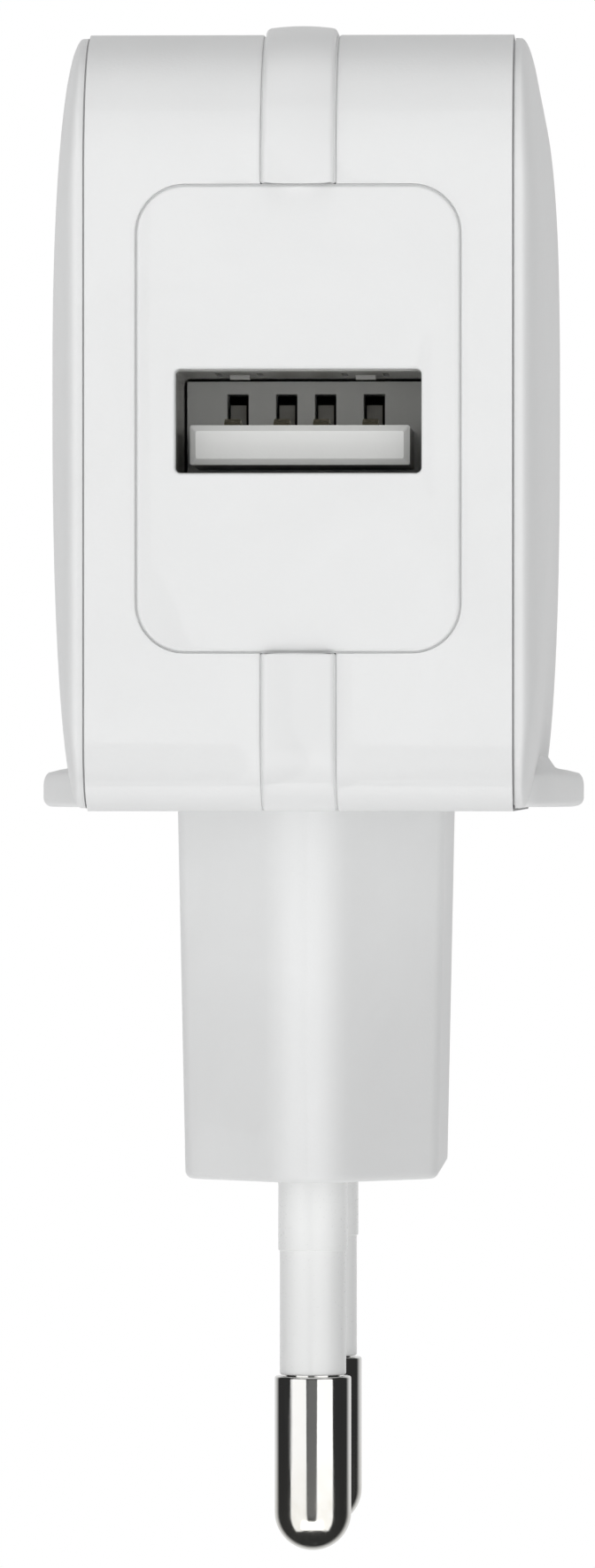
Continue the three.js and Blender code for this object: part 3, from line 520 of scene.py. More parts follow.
def front_panel(name):
    """Rounding an edge moves the outline in by r * (1 - cos a) while it comes forward to the face, and
    the port's edge does the same in the other direction. Below the groove's depth the plate fills the
    seam."""
    left, right = PANEL_BOX[0][0], PANEL_BOX[1][0]
    low, high = PANEL_BOX[0][2], PANEL_BOX[1][2]
    face, back = PANEL_BOX[0][1], PANEL_BOX[1][1]
    lip = TOUCH - SEAM
    step = face + PANEL_EDGE + GROOVE_DEPTH
    shrink = np.concatenate([[lip, lip, 0], PANEL_EDGE * RISING])[:, None]
    outer_y = np.concatenate([[back, step, step], face + PANEL_EDGE * FALLING])[:, None]
    outer = stacked(*rounded_ring(left + shrink, right - shrink, low + shrink, high - shrink,
                                  PANEL_RADIUS - shrink, PANEL_RADIUS - shrink), outer_y)
    grow = np.concatenate([PORT_EDGE * RISING[::-1], [0]])[:, None]
    inner_y = np.concatenate([face + PORT_EDGE * FALLING[::-1], [back]])[:, None]
    inner = stacked(*rounded_ring(-PORT_HALF - grow, PORT_HALF + grow,
                                  PORT_MIDDLE - PORT_HEIGHT / 2 - grow, PORT_MIDDLE + PORT_HEIGHT / 2 + grow,
                                  PORT_RADIUS + grow, PORT_RADIUS + grow), inner_y)
    grid = np.concatenate([outer, inner])[..., [0, 2, 1]]
    return finished(skin(name, grid, across=True), "front_panel")


panel = front_panel("front_panel_plate")

# %% [markdown]
# A raised band covers the seam between the two halves. Its section is a low crown with rounded edges, and
# it is swept round the same outline as the housing. The panel and the plug interrupt it, so there are two
# strips, and both ends of each are drawn in slightly before they close.

# %% Centre band
BAND_PROUD = 0.45 * MM
BAND_CROWN = 0.1 * MM
BAND_SUNK = 0.85 * MM
BAND_EDGE = 0.28 * MM
BAND_STEP = 0.55 * MM
BAND_END = 0.15 * MM
CROWN_POINTS = 14
STEM_END = 16.6 * MM


def band_section():
    """Across the band: from the left foot up the side, round the edge, over a parabolic crown and down
    again."""
    flat = BAND_HALF - BAND_EDGE
    edge_x = flat + BAND_EDGE * np.cos(quarter_turn)
    edge_h = BAND_PROUD - BAND_CROWN - BAND_EDGE + BAND_EDGE * np.sin(quarter_turn)
    crown_x = np.linspace(flat, -flat, CROWN_POINTS)[1:-1]
    crown_h = BAND_PROUD - BAND_CROWN * (crown_x / flat) ** 2
    lip = BAND_HALF + SEAM - TOUCH
    side_x = np.array([lip, lip, BAND_HALF])
    side_h = np.array([-BAND_SUNK, -GROOVE_DEPTH, -GROOVE_DEPTH])
    x = np.concatenate([side_x, edge_x, crown_x, -edge_x[::-1], -side_x[::-1]])
    h = np.concatenate([side_h, edge_h, crown_h, edge_h[::-1], side_h[::-1]])
    return x, h


def band_strip(name, node, start, end):
    """The section at every step of the walk. At each end it shrinks about its middle as a quarter circle
    does. What stands proud fades out round the foot's corner, so that the band is flush underneath."""
    x, h = band_section()
    walk = np.linspace(start + BAND_END, end - BAND_END, int((end - start) / BAND_STEP))
    walk = np.concatenate([start + BAND_END * RISING[:-1], walk, end - BAND_END * RISING[:-1][::-1]])
    near_end = 1 - np.minimum(1, np.minimum(walk - start, end - walk) / BAND_END)
    drawn = BAND_END * (1 - np.sqrt(1 - near_end ** 2))
    middle = h.mean()
    x_rows = x - np.sign(x) * drawn[:, None]
    height = (body_outline(walk, 0 * walk)[1] - FOOT) / FOOT_RADIUS
    fade = np.clip(height, 0, 1)[:, None]
    h_rows = np.where(h > 0, h * fade, h) - np.sign(h - middle) * drawn[:, None]
    y, z = body_outline(walk[:, None] + 0 * h_rows, h_rows)
    grid = stacked(x_rows, y, z)
    caps = [np.broadcast_to(row.mean(axis=0), row.shape)[None] for row in (grid[0], grid[-1])]
    return finished(skin(name, np.concatenate([caps[0], grid, caps[1]])), node)


window_low = PANEL_BOX[0][2] - SEAM - FACE_ZERO
window_high = PANEL_BOX[1][2] + SEAM - FACE_ZERO
floor_middle = FLOOR_START + FLOOR_RUN / 2
bands = [
    band_strip("band_over_the_top", "band_upper", window_high, floor_middle - STEM_END),
    band_strip("band_under_the_port", "band_lower", floor_middle + STEM_END - OUTLINE_LENGTH, window_low),
]

# %% [markdown]
# The plug's stem has two long flats and, at each end, two slanting faces that meet in a rounded nose. It
# is a hollow moulding with a thick floor that holds the pins, and a neck that clips into the housing. The
# whole wall, inside and out, is one list of heights and insets carried round the section. The pins' bores
# are cut afterwards.

# %% Plug stem
STEM_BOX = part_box("plug_body")
STEM_HALF_DEPTH = STEM_BOX[1][1]
STEM_FLAT = 11.65 * MM
STEM_NOSE = 2.2 * MM
STEM_FACE_HALF = 6.6 * MM
STEM_TOP_HALF = 7.0 * MM
STEM_EDGE = 0.4 * MM
STEM_WALL = 1.6 * MM
STEM_FLOOR = 2.6 * MM
STEM_CORNER = 0.7 * MM
NECK_STEP = 1.3 * MM
STEM_POINTS = 9
PIN_PLACES = {"front": -9.5 * MM, "rear": 9.5 * MM}
FLANGE = 1 * MM
NECK_INSIDE = 2 * MM
NECK_SLOPE = 3 * MM
# The bores' profile is in millimetres, as the pins' own are.
COLLAR_BORE = 1.915
COLLAR_SEAT = 1.3
POST_BORE = 1.6
BORE_END = 3.6


def lerp(first, second, share):
    """first + (second - first) * share, for pairs of arrays."""
    return [a + (b - a) * share for a, b in zip(first, second)]


def bend(first, control, second, share):
    """A quadratic curve: it leaves first towards the control point and reaches second from it."""
    return lerp(lerp(first, control, share), lerp(control, second, share), share)


def stem_section(inset, z):
    """A quarter of the section, then its mirror images. The nose is a quadratic curve whose control point
    lies where the slanting face would meet the middle, placed so that the nose ends at half the depth."""
    half = STEM_FACE_HALF + (STEM_TOP_HALF - STEM_FACE_HALF) * z / FOOT - inset
    depth = STEM_HALF_DEPTH - inset
    share = STEM_NOSE / half
    apex = (2 * depth - share * STEM_FLAT) / (2 - share)
    start = apex - share * (apex - STEM_FLAT)
    zero = 0 * half
    step = np.arange(STEM_POINTS) / STEM_POINTS
    turn_from = (half, zero + STEM_FLAT - STEM_CORNER)
    along = STEM_CORNER / np.hypot(half - STEM_NOSE, start - STEM_FLAT)
    turn_to = lerp((half, zero + STEM_FLAT), (zero + STEM_NOSE, start), along)
    flat = lerp((half, zero), turn_from, step)
    turn = bend(turn_from, (half, zero + STEM_FLAT), turn_to, step)
    slant = lerp(turn_to, (zero + STEM_NOSE, start), step)
    nose = bend((zero + STEM_NOSE, start), (zero, apex), (zero - STEM_NOSE, start), step / 2)
    x = np.concatenate([part[0] for part in (flat, turn, slant, nose)], axis=1)
    y = np.concatenate([part[1] for part in (flat, turn, slant, nose)], axis=1)
    tip = stacked(zero, depth + zero, z)[:, 0]
    quarter = stacked(x, y, z)
    rear = np.concatenate([quarter, tip[:, None], quarter[:, :0:-1] * [-1, 1, 1]], axis=1)
    return np.concatenate([rear, rear * [-1, -1, 1]], axis=1)


def plug_stem(name):
    """Up the outside from a rounded edge, in to the neck, up, out to the flange, and down the inside to
    the floor."""
    shoulder = FOOT - TOUCH
    flange = FOOT + WALL + SEAM
    levels = [(STEM_EDGE * moved, STEM_EDGE * dropped) for moved, dropped in zip(FALLING, RISING)]
    levels += [(0, share * shoulder) for share in (0.25, 0.5, 0.75, 1)]
    levels += [(NECK_STEP, shoulder), (NECK_STEP, flange), (0, flange), (0, flange + FLANGE)]
    levels += [(NECK_STEP + STEM_WALL, flange + FLANGE), (NECK_STEP + STEM_WALL, FOOT - NECK_INSIDE)]
    levels += [(STEM_WALL, FOOT - NECK_SLOPE), (STEM_WALL, STEM_FLOOR)]
    table = np.array(levels)
    grid = stem_section(table[:, :1], table[:, 1:])
    caps = [np.broadcast_to(row.mean(axis=0), row.shape)[None] for row in (grid[0], grid[-1])]
    stem = skin(name, np.concatenate([caps[0], grid, caps[1]]))
    profile = [(0, -1), (COLLAR_BORE, -1), (COLLAR_BORE, COLLAR_SEAT), (POST_BORE, COLLAR_SEAT),
               (POST_BORE, BORE_END), (0, BORE_END)]
    for end, y in PIN_PLACES.items():
        merged(stem, turned(name + "_bore_" + end, profile, y), "DIFFERENCE")
    return finished(stem, "plug_body")


# %% [markdown]
# Pins and sleeves are turned parts. A profile of radius and height is spun round the pin's axis with sine
# and cosine. The round tip comes from a quarter turn, and the tiny steps between pin, sleeve and collar
# are in the profile, because light breaks on them even where they measure a tenth of a millimetre.

# %% Pins and sleeves
TURN_POINTS = 72
PIN_RADIUS = 2.0
PIN_TIP = -19.5
SLEEVE_RADIUS = 1.735
SLEEVE_END = -10.3
COLLAR_RADIUS = 1.815
COLLAR_END = -3.8
CORE_RADIUS = 1.5
HEAD_RADIUS = 2.5
HEAD_LOW = 2.7
HEAD_HIGH = 3.7
POST_RADIUS = 1.0
POST_END = 6.1
POST_EDGE = 0.1
PIN_GAP = 0.08
PIN_EDGE = 0.12
SLEEVE_EDGE = 0.1
SLEEVE_ROOT = 1.2
SLEEVE_FIT = 0.05
COLLAR_EDGE = 0.06
TIP_STEPS = 14


def turned(name, profile, y, closed=False):
    """x = r cos a, y = r sin a about the pin's axis, for each (radius, height) of the profile in
    millimetres."""
    radius, height = (np.array(profile, float) * MM).T
    angle = np.linspace(0, 2 * math.pi, TURN_POINTS, endpoint=False)
    grid = stacked(radius[:, None] * np.cos(angle), y + radius[:, None] * np.sin(angle), height[:, None])
    return skin(name, grid, across=closed)


def pin_profile():
    """Rounded tip, shank, a small rounding at its upper end, the thinner core, the head and the solder
    post."""
    turn = np.linspace(0, math.pi / 2, TIP_STEPS)
    tip = np.stack([PIN_RADIUS * np.sin(turn), PIN_TIP + PIN_RADIUS * (1 - np.cos(turn))], axis=-1)
    top = SLEEVE_END - PIN_GAP
    edge = np.stack([PIN_RADIUS - PIN_EDGE * RISING, top - PIN_EDGE * FALLING], axis=-1)
    core = [(CORE_RADIUS, top), (CORE_RADIUS, HEAD_LOW), (HEAD_RADIUS, HEAD_LOW), (HEAD_RADIUS, HEAD_HIGH)]
    post = [(POST_RADIUS, HEAD_HIGH), (POST_RADIUS, POST_END - POST_EDGE),
            (POST_RADIUS - POST_EDGE, POST_END), (0, POST_END)]
    return np.concatenate([tip, edge, core, post])


def sleeve_profile():
    """A tube: rounded lower edge, the step up to the collar, the root inside the stem, and the bore back
    down."""
    edge = np.stack([SLEEVE_RADIUS - SLEEVE_EDGE * FALLING, SLEEVE_END + SLEEVE_EDGE * RISING], axis=-1)
    step = np.stack([COLLAR_RADIUS - COLLAR_EDGE * FALLING, COLLAR_END + COLLAR_EDGE * RISING], axis=-1)
    inside = CORE_RADIUS + SLEEVE_FIT
    return np.concatenate([edge, [(SLEEVE_RADIUS, COLLAR_END)], step, [(COLLAR_RADIUS, SLEEVE_ROOT)],
                           [(inside, SLEEVE_ROOT), (inside, SLEEVE_END)]])


stem = plug_stem("plug_stem")
for end, y in PIN_PLACES.items():
    finished(turned("contact_pin_" + end, pin_profile(), y), "pin_" + end)
    sleeve = turned("insulating_sleeve_" + end, sleeve_profile(), y, closed=True)
    finished(sleeve, "sleeve_" + end)

# %% [markdown]
# Materials are small node trees. Every pattern reads Object coordinates, turned into millimetres first so
# that the sizes in the nodes are the sizes on the part. A little helper adds a node, sets it and links it
# in one line.

# %% Node helpers
PER_METRE = 1000.0


def add(tree, kind, inputs=None, **settings):
    """Adds one node, sets its properties and gives each named input a value or a link."""
    made = tree.nodes.new(kind)
    for key, value in settings.items():
        setattr(made, key, value)
    for key, value in (inputs or {}).items():
        if isinstance(value, bpy.types.NodeSocket):
            tree.links.new(value, made.inputs[key])
        else:
            made.inputs[key].default_value = value
    return made


def maths(tree, operation, first, second=0.0, third=0.0):
    """One arithmetic step on values or links."""
    return add(tree, "ShaderNodeMath", {0: first, 1: second, 2: third}, operation=operation).outputs[0]


def blended(tree, share, first, second):
    """Mixes two colours by a share that varies over the surface."""
    return add(tree, "ShaderNodeMix", {"Factor": share, 6: first, 7: second}, data_type="RGBA").outputs[2]


def blended_value(tree, share, first, second):
    """first + (second - first) * share."""
    return maths(tree, "MULTIPLY_ADD", maths(tree, "SUBTRACT", second, first), share, first)


def mapped(tree, value, low, high, first=0.0, last=1.0):
    """Runs from first to last while value runs from low to high, and stays put beyond them."""
    return add(tree, "ShaderNodeMapRange", {"Value": value, "From Min": low, "From Max": high,
                                            "To Min": first, "To Max": last}).outputs[0]


def band_mask(tree, value, low, high, soft):
    """1 where value lies between low and high, falling to 0 over the width soft."""
    rise = mapped(tree, value, low - soft, low)
    return maths(tree, "MULTIPLY", rise, mapped(tree, value, high, high + soft, 1.0, 0.0))


def noise(tree, vector, scale, detail, **more):
    """A noise with scale cells to the millimetre. more holds its other inputs."""
    values = {"Vector": vector, "Scale": scale, "Detail": detail, **more}
    return add(tree, "ShaderNodeTexNoise", values).outputs[0]


def scaled(tree, vector, factor):
    """A vector or a colour times one number."""
    return add(tree, "ShaderNodeVectorMath", {0: vector, 3: factor}, operation="SCALE").outputs[0]


def coordinate(tree, vector, axis):
    """The X, Y or Z of a vector."""
    return add(tree, "ShaderNodeSeparateXYZ", {0: vector}).outputs[axis]


def use(tree, group, values):
    """Places a node group with its own values and returns its outputs."""
    return add(tree, "ShaderNodeGroup", values, node_tree=group).outputs


def effect(name, inputs, outputs):
    """A node group with named sockets. Returns it with the sockets to build between."""
    group = bpy.data.node_groups.new(name, "ShaderNodeTree")
    for socket, kind, value in inputs:
        group.interface.new_socket(socket, in_out="INPUT", socket_type=kind).default_value = value
    for socket, kind in outputs:
        group.interface.new_socket(socket, in_out="OUTPUT", socket_type=kind)
    return group, group.nodes.new("NodeGroupInput").outputs, group.nodes.new("NodeGroupOutput").inputs


FLOAT, COLOUR, VECTOR = "NodeSocketFloat", "NodeSocketColor", "NodeSocketVector"
print("pattern units per metre:", PER_METRE)

# %% [markdown]
# Moulded plastic is never quite even. The mould's steel is spark-eroded, which leaves a fine grain. The
# wall shrinks as it cools, which leaves slow waves. And the pigment swirls a little. One group makes all
# three, so that every moulded piece in the charger, white or black, uses it with its own numbers.

# %% Moulded surface
def moulded_surface():
    """Height = grain share * fine noise + slow noise. Colour and roughness drift with a slower noise."""
    tree, source, out = effect("moulded_surface", [
        ("Vector", VECTOR, (0, 0, 0)), ("Colour", COLOUR, (1, 1, 1, 1)), ("Roughness", FLOAT, 0.4),
        ("Grain", FLOAT, 5.0), ("Grain Share", FLOAT, 0.5), ("Drift", FLOAT, 0.05)],
        [("Colour", COLOUR), ("Roughness", FLOAT), ("Height", FLOAT)])
    fine = noise(tree, source["Vector"], source["Grain"], 2.0, Roughness=0.6)
    cells = {"Vector": source["Vector"], "Scale": source["Grain"]}
    pits = add(tree, "ShaderNodeTexVoronoi", cells).outputs[0]
    wave = noise(tree, source["Vector"], 0.35, 1.0)
    swirl = noise(tree, source["Vector"], 0.12, 4.0, Distortion=1.5)
    rough = maths(tree, "ADD", maths(tree, "MULTIPLY", fine, 0.7), maths(tree, "MULTIPLY", pits, 0.3))
    tree.links.new(maths(tree, "MULTIPLY_ADD", rough, source["Grain Share"], wave), out["Height"])
    tone = maths(tree, "MULTIPLY", maths(tree, "SUBTRACT", swirl, 0.5), source["Drift"])
    tree.links.new(scaled(tree, source["Colour"], maths(tree, "ADD", tone, 1.0)), out["Colour"])
    sheen = maths(tree, "MULTIPLY", maths(tree, "SUBTRACT", rough, 0.45), 0.22)
    tree.links.new(maths(tree, "ADD", maths(tree, "ADD", source["Roughness"], sheen), tone), out["Roughness"])
    return tree


MOULDED = moulded_surface()
print("group:", MOULDED.name)

# %% [markdown]
# Turned and stamped metal keeps the marks of its tool: fine parallel lines along or round the piece, and
# here and there a deeper scratch from being plugged in. Stretching a noise far along one direction draws
# such lines.

# %% Worked metal
def worked_metal():
    """Vector * Stretch makes the lines. A second, rarer noise above a limit makes the scratches."""
    tree, source, out = effect("worked_metal", [
        ("Vector", VECTOR, (0, 0, 0)), ("Stretch", VECTOR, (1, 1, 1)), ("Colour", COLOUR, (1, 1, 1, 1)),
        ("Roughness", FLOAT, 0.3), ("Lines", FLOAT, 0.1), ("Scratches", FLOAT, 0.3)],
        [("Colour", COLOUR), ("Roughness", FLOAT), ("Height", FLOAT)])
    along = {0: source["Vector"], 1: source["Stretch"]}
    drawn = add(tree, "ShaderNodeVectorMath", along, operation="MULTIPLY")
    lines = noise(tree, drawn.outputs[0], 6.0, 3.0)
    rare = noise(tree, drawn.outputs[0], 2.3, 1.0)
    patch = noise(tree, source["Vector"], 0.5, 3.0)
    marks = maths(tree, "MULTIPLY", mapped(tree, rare, 0.66, 0.74), source["Scratches"])
    rough = maths(tree, "MULTIPLY", maths(tree, "SUBTRACT", lines, 0.5), source["Lines"])
    tree.links.new(maths(tree, "ADD", maths(tree, "ADD", source["Roughness"], rough),
                         maths(tree, "MULTIPLY", marks, 0.25)), out["Roughness"])
    worn = maths(tree, "MULTIPLY", marks, 0.2)
    shade = maths(tree, "SUBTRACT", maths(tree, "MULTIPLY_ADD", patch, 0.12, 0.94), worn)
    tree.links.new(scaled(tree, source["Colour"], shade), out["Colour"])
    grooves = maths(tree, "MULTIPLY", lines, source["Lines"])
    tree.links.new(maths(tree, "SUBTRACT", grooves, marks), out["Height"])
    return tree


WORKED = worked_metal()
print("group:", WORKED.name)

# %% [markdown]
# A finish starts from a plain principled shader, and the group's colour, roughness and height are plugged
# into it. What is the same all over, such as how strongly it mirrors, is a number on the shader itself.

# %% Finish builder
METAL_DEPTH = 0.006


def start(name):
    """A new material, its tree, its shader and the object coordinates in millimetres."""
    material = bpy.data.materials.new(name)
    material.use_nodes = True
    tree = material.node_tree
    shader = tree.nodes["Principled BSDF"]
    place = tree.nodes.new("ShaderNodeTexCoord").outputs["Object"]
    return material, tree, shader, scaled(tree, place, PER_METRE)


def plug_in(tree, shader, colour, roughness, height, depth):
    """Links colour, roughness and, through a bump of the given depth in millimetres, the height."""
    tree.links.new(colour, shader.inputs["Base Color"])
    tree.links.new(roughness, shader.inputs["Roughness"])
    bump = add(tree, "ShaderNodeBump", {"Height": height, "Distance": depth * MM, "Strength": 1.0})
    tree.links.new(bump.outputs[0], shader.inputs["Normal"])


def plastic(name, colour, roughness, grain=5.0, share=0.5, drift=0.05, depth=0.012, specular=0.5):
    """A moulded finish with nothing else on it."""
    material, tree, shader, vector = start(name)
    surface = use(tree, MOULDED, {"Vector": vector, "Colour": (*colour, 1), "Roughness": roughness,
                                  "Grain": grain, "Grain Share": share, "Drift": drift})
    plug_in(tree, shader, *surface[:], depth)
    shader.inputs["Specular IOR Level"].default_value = specular
    return material


def metal(name, colour, roughness, stretch, lines, scratches):
    """A worked metal finish. stretch is small along the tool marks and 1 across them."""
    material, tree, shader, vector = start(name)
    surface = use(tree, WORKED, {"Vector": vector, "Stretch": stretch, "Colour": (*colour, 1),
                                 "Roughness": roughness, "Lines": lines, "Scratches": scratches})
    plug_in(tree, shader, *surface[:], METAL_DEPTH)
    shader.inputs["Metallic"].default_value = 1.0
    return material


def coat(piece, material):
    """The piece wears only this material."""
    piece.data.materials.clear()
    piece.data.materials.append(material)
    print(piece.name, "wears", material.name)


# %% [markdown]
# The white of the housing is one resin, but each moulding shows it a little differently: the band and the
# covers are the smoothest, the frame, panel and stem carry more grain, and the pins' sleeves are a softer,
# glossier plastic.

# %% White mouldings
WHITE = (0.83, 0.835, 0.835)
frame_white = plastic("frame_white", WHITE, 0.44, grain=5.5, share=0.7, depth=0.014)
cover_white = plastic("cover_white", WHITE, 0.38, grain=4.5, share=0.45, depth=0.016)
panel_white = plastic("panel_white", WHITE, 0.42, grain=6.0, share=0.7, depth=0.012)
band_white = plastic("band_white", WHITE, 0.34, grain=4.5, share=0.4, depth=0.012)
stem_white = plastic("stem_white", WHITE, 0.40, grain=5.5, share=0.6, depth=0.014)
sleeve_white = plastic("sleeve_white", (0.86, 0.865, 0.86), 0.30, grain=7.0, share=0.4, depth=0.008)
for half in halves:
    coat(half, frame_white)
for cover in covers:
    coat(cover, cover_white)
for strip in bands:
    coat(strip, band_white)
coat(panel, panel_white)
coat(stem, stem_white)

# %% [markdown]
# The pins are nickel-plated brass, drawn along their length and polished, with a duller ring of fine wear
# round the tip where the socket's springs rub. The wear is a mask on height, mixed into roughness and
# colour.

# %% Pins
WEAR_FULL = 2.5
WEAR_FADE = 3.0


def pin_nickel():
    """Lengthwise lines and scratches everywhere. Round the tip a worn zone, duller and a little yellow,
    fades out upwards."""
    material, tree, shader, vector = start("polished_nickel")
    drawn = use(tree, WORKED, {"Vector": vector, "Stretch": (1, 1, 0.04), "Colour": (0.8, 0.795, 0.775, 1),
                               "Roughness": 0.085, "Lines": 0.1, "Scratches": 0.35})
    worn = band_mask(tree, coordinate(tree, vector, "Z"), PIN_TIP - 1, PIN_TIP + WEAR_FULL, WEAR_FADE)
    share = maths(tree, "MULTIPLY", worn, noise(tree, vector, 1.8, 4.0))
    colour = blended(tree, maths(tree, "MULTIPLY", share, 0.35), drawn["Colour"], (0.62, 0.56, 0.42, 1))
    rough = maths(tree, "MULTIPLY_ADD", share, 0.12, drawn["Roughness"])
    plug_in(tree, shader, colour, rough, drawn["Height"], 0.005)
    shader.inputs["Metallic"].default_value = 1.0
    return material


nickel = pin_nickel()
for end in PIN_PLACES:
    coat(bpy.data.objects["contact_pin_" + end], nickel)
    coat(bpy.data.objects["insulating_sleeve_" + end], sleeve_white)

# %% [markdown]
# The port is a folded steel box with a plastic tongue. The steel is tin-plated and rolled front to back,
# the tongue is a pale heat-proof plastic, and the four contacts are thinly gilded, with a bright wiped
# spot on the crest where a plug slides over them. Their soldered legs are tinned and dull.

# %% Port
def gilded(name, node):
    """Thin gold over nickel. The wiped spot is a mask on height near the contact's crest."""
    material, tree, shader, vector = start(name)
    strip = use(tree, WORKED, {"Vector": vector, "Stretch": (1, 0.06, 1), "Colour": (0.72, 0.66, 0.52, 1),
                               "Roughness": 0.3, "Lines": 0.12, "Scratches": 0.3})
    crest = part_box(node)[1][2] / MM
    wiped = band_mask(tree, coordinate(tree, vector, "Z"), crest - 0.06, crest + 1, 0.12)
    colour = blended(tree, wiped, strip["Colour"], (0.86, 0.74, 0.5, 1))
    rough = maths(tree, "MULTIPLY_ADD", wiped, -0.12, strip["Roughness"])
    plug_in(tree, shader, colour, rough, strip["Height"], 0.004)
    shader.inputs["Metallic"].default_value = 1.0
    return material


coat(nodes["usb_shell"], metal("port_steel", (0.6, 0.6, 0.585), 0.42, (1, 0.05, 1), 0.16, 0.25))
coat(nodes["usb_insulator"], plastic("port_plastic", (0.83, 0.835, 0.82), 0.48, grain=7.0, depth=0.008))
leg_tin = metal("leg_tin", (0.3, 0.295, 0.28), 0.42, (0.06, 1, 1), 0.25, 0.4)
for line in ("vbus", "data_minus", "data_plus", "ground"):
    coat(nodes["contact_spring_" + line], gilded(line + "_gold", "contact_spring_" + line))
    coat(nodes["contact_leg_" + line], leg_tin)

# %% [markdown]
# Inside sit the parts that nobody sees until the halves are split. Each still gets its own finish: most
# of them are a body in one material and legs or ends in another, told apart by where they lie along one
# axis.

# %% Parts with metal legs
TIN = (0.62, 0.62, 0.6, 1)
BOARD_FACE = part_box("main_board")[1][0] / MM
CHIP_LEGS = 0.76
DISC_LEGS = 2.0
BARE_WIRE = 1.6


def two_part(name, colour, roughness, axis, low, high, other=TIN, grain=3.0):
    """Body between low and high along one axis, and the other material, by default tinned metal, outside
    it."""
    material, tree, shader, vector = start(name)
    body = use(tree, MOULDED, {"Vector": vector, "Colour": (*colour, 1), "Roughness": roughness,
                               "Grain": grain, "Grain Share": 0.8, "Drift": 0.1})
    ends = use(tree, WORKED, {"Vector": vector, "Stretch": (0.1, 1, 1), "Colour": other, "Roughness": 0.3})
    inside = band_mask(tree, coordinate(tree, vector, axis), low, high, 0.04)
    base = blended(tree, inside, ends["Colour"], body["Colour"])
    rough = blended_value(tree, inside, ends["Roughness"], body["Roughness"])
    height = blended_value(tree, inside, ends["Height"], body["Height"])
    plug_in(tree, shader, base, rough, height, 0.02)
    tree.links.new(maths(tree, "SUBTRACT", 1.0, inside), shader.inputs["Metallic"])
    return material, tree, shader, vector, base


for node in ("controller_chip", "optocoupler", "bridge_rectifier", "output_diode"):
    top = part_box(node)[1][0] / MM
    coat(nodes[node], two_part(node + "_resin", (0.022, 0.022, 0.024), 0.5, "X",
                               BOARD_FACE + CHIP_LEGS, top + 1)[0])
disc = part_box("safety_capacitor")
coat(nodes["safety_capacitor"], two_part("blue_lacquer", (0.05, 0.16, 0.42), 0.3, "X",
                                         disc[0][0] / MM + DISC_LEGS, disc[1][0] / MM + 1)[0])
for end in PIN_PLACES:
    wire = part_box("lead_" + end)
    coat(nodes["lead_" + end], two_part("lead_" + end + "_jacket", (0.42, 0.035, 0.03), 0.42, "Z",
                                        wire[0][2] / MM + BARE_WIRE, wire[1][2] / MM + 1)[0])

# %% [markdown]
# Wound and wrapped parts show their layers. A saw-tooth wave makes the edge of each turn of tape, a rounded
# one the turns of enamelled wire, and both go into the bump. The colour darkens with the same wave towards
# the low groove of each turn, as painted shade.

# %% Windings, cans and core
FERRITE = (0.03, 0.03, 0.032)
TAPE_EDGE = 0.05
COIL_EDGE = 1.1
BARE_TOP = 0.12
STRIPE_STOP = 0.6
STRIPE_HALF = 0.9
VENT_HALF = 0.12
VENT_DEPTH = 0.1


def wrapped(name, colour, roughness, axis, pitch, profile, ends, end_colour, metallic=0.0):
    """Turns at a pitch in millimetres along an axis, between two ends of another colour. Each turn's colour
    darkens towards its groove as painted shade.
    """
    material, tree, shader, vector = start(name)
    body = use(tree, MOULDED, {"Vector": vector, "Colour": (*colour, 1), "Roughness": roughness,
                               "Grain": 2.5, "Grain Share": 0.4, "Drift": 0.15})
    waves = {"Vector": vector, "Scale": math.pi / (10 * pitch), "Distortion": 0.15}
    wave = add(tree, "ShaderNodeTexWave", waves, bands_direction=axis, wave_profile=profile).outputs["Fac"]
    # Painted shade: each turn darkens to 0.55 of its colour where the wave, and so the bump, is lowest.
    shaded_turns = blended(tree, wave, scaled(tree, body["Colour"], 0.55), body["Colour"])
    inside = band_mask(tree, coordinate(tree, vector, axis), *ends, 0.03)
    height = maths(tree, "ADD", body["Height"], maths(tree, "MULTIPLY", wave, 2.0))
    plug_in(tree, shader, blended(tree, inside, end_colour, shaded_turns), body["Roughness"],
            maths(tree, "MULTIPLY", height, inside), 0.04)
    if metallic:
        tree.links.new(maths(tree, "MULTIPLY", inside, metallic), shader.inputs["Metallic"])
    return material


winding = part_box("transformer_winding")
coat(nodes["transformer_winding"], wrapped("yellow_tape", (0.72, 0.46, 0.05), 0.35, "Y", 2.2, "SAW",
                                           (winding[0][1] / MM + TAPE_EDGE, winding[1][1] / MM - TAPE_EDGE),
                                           (0.5, 0.3, 0.05, 1)))
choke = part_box("input_choke")
coat(nodes["input_choke"], wrapped("enamelled_coil", (0.62, 0.25, 0.09), 0.3, "X", 0.32, "SIN",
                                   (choke[0][0] / MM + COIL_EDGE, choke[1][0] / MM - COIL_EDGE),
                                   (*FERRITE, 1), 0.8))
for node in ("ferrite_core_front", "ferrite_core_rear"):
    coat(nodes[node], plastic(node + "_grey", FERRITE, 0.62, grain=6.0, share=1.2, drift=0.5, depth=0.03))
coat(nodes["transformer_bobbin"], plastic("bobbin_resin", (0.025, 0.024, 0.022), 0.5, grain=4.0, drift=0.3))


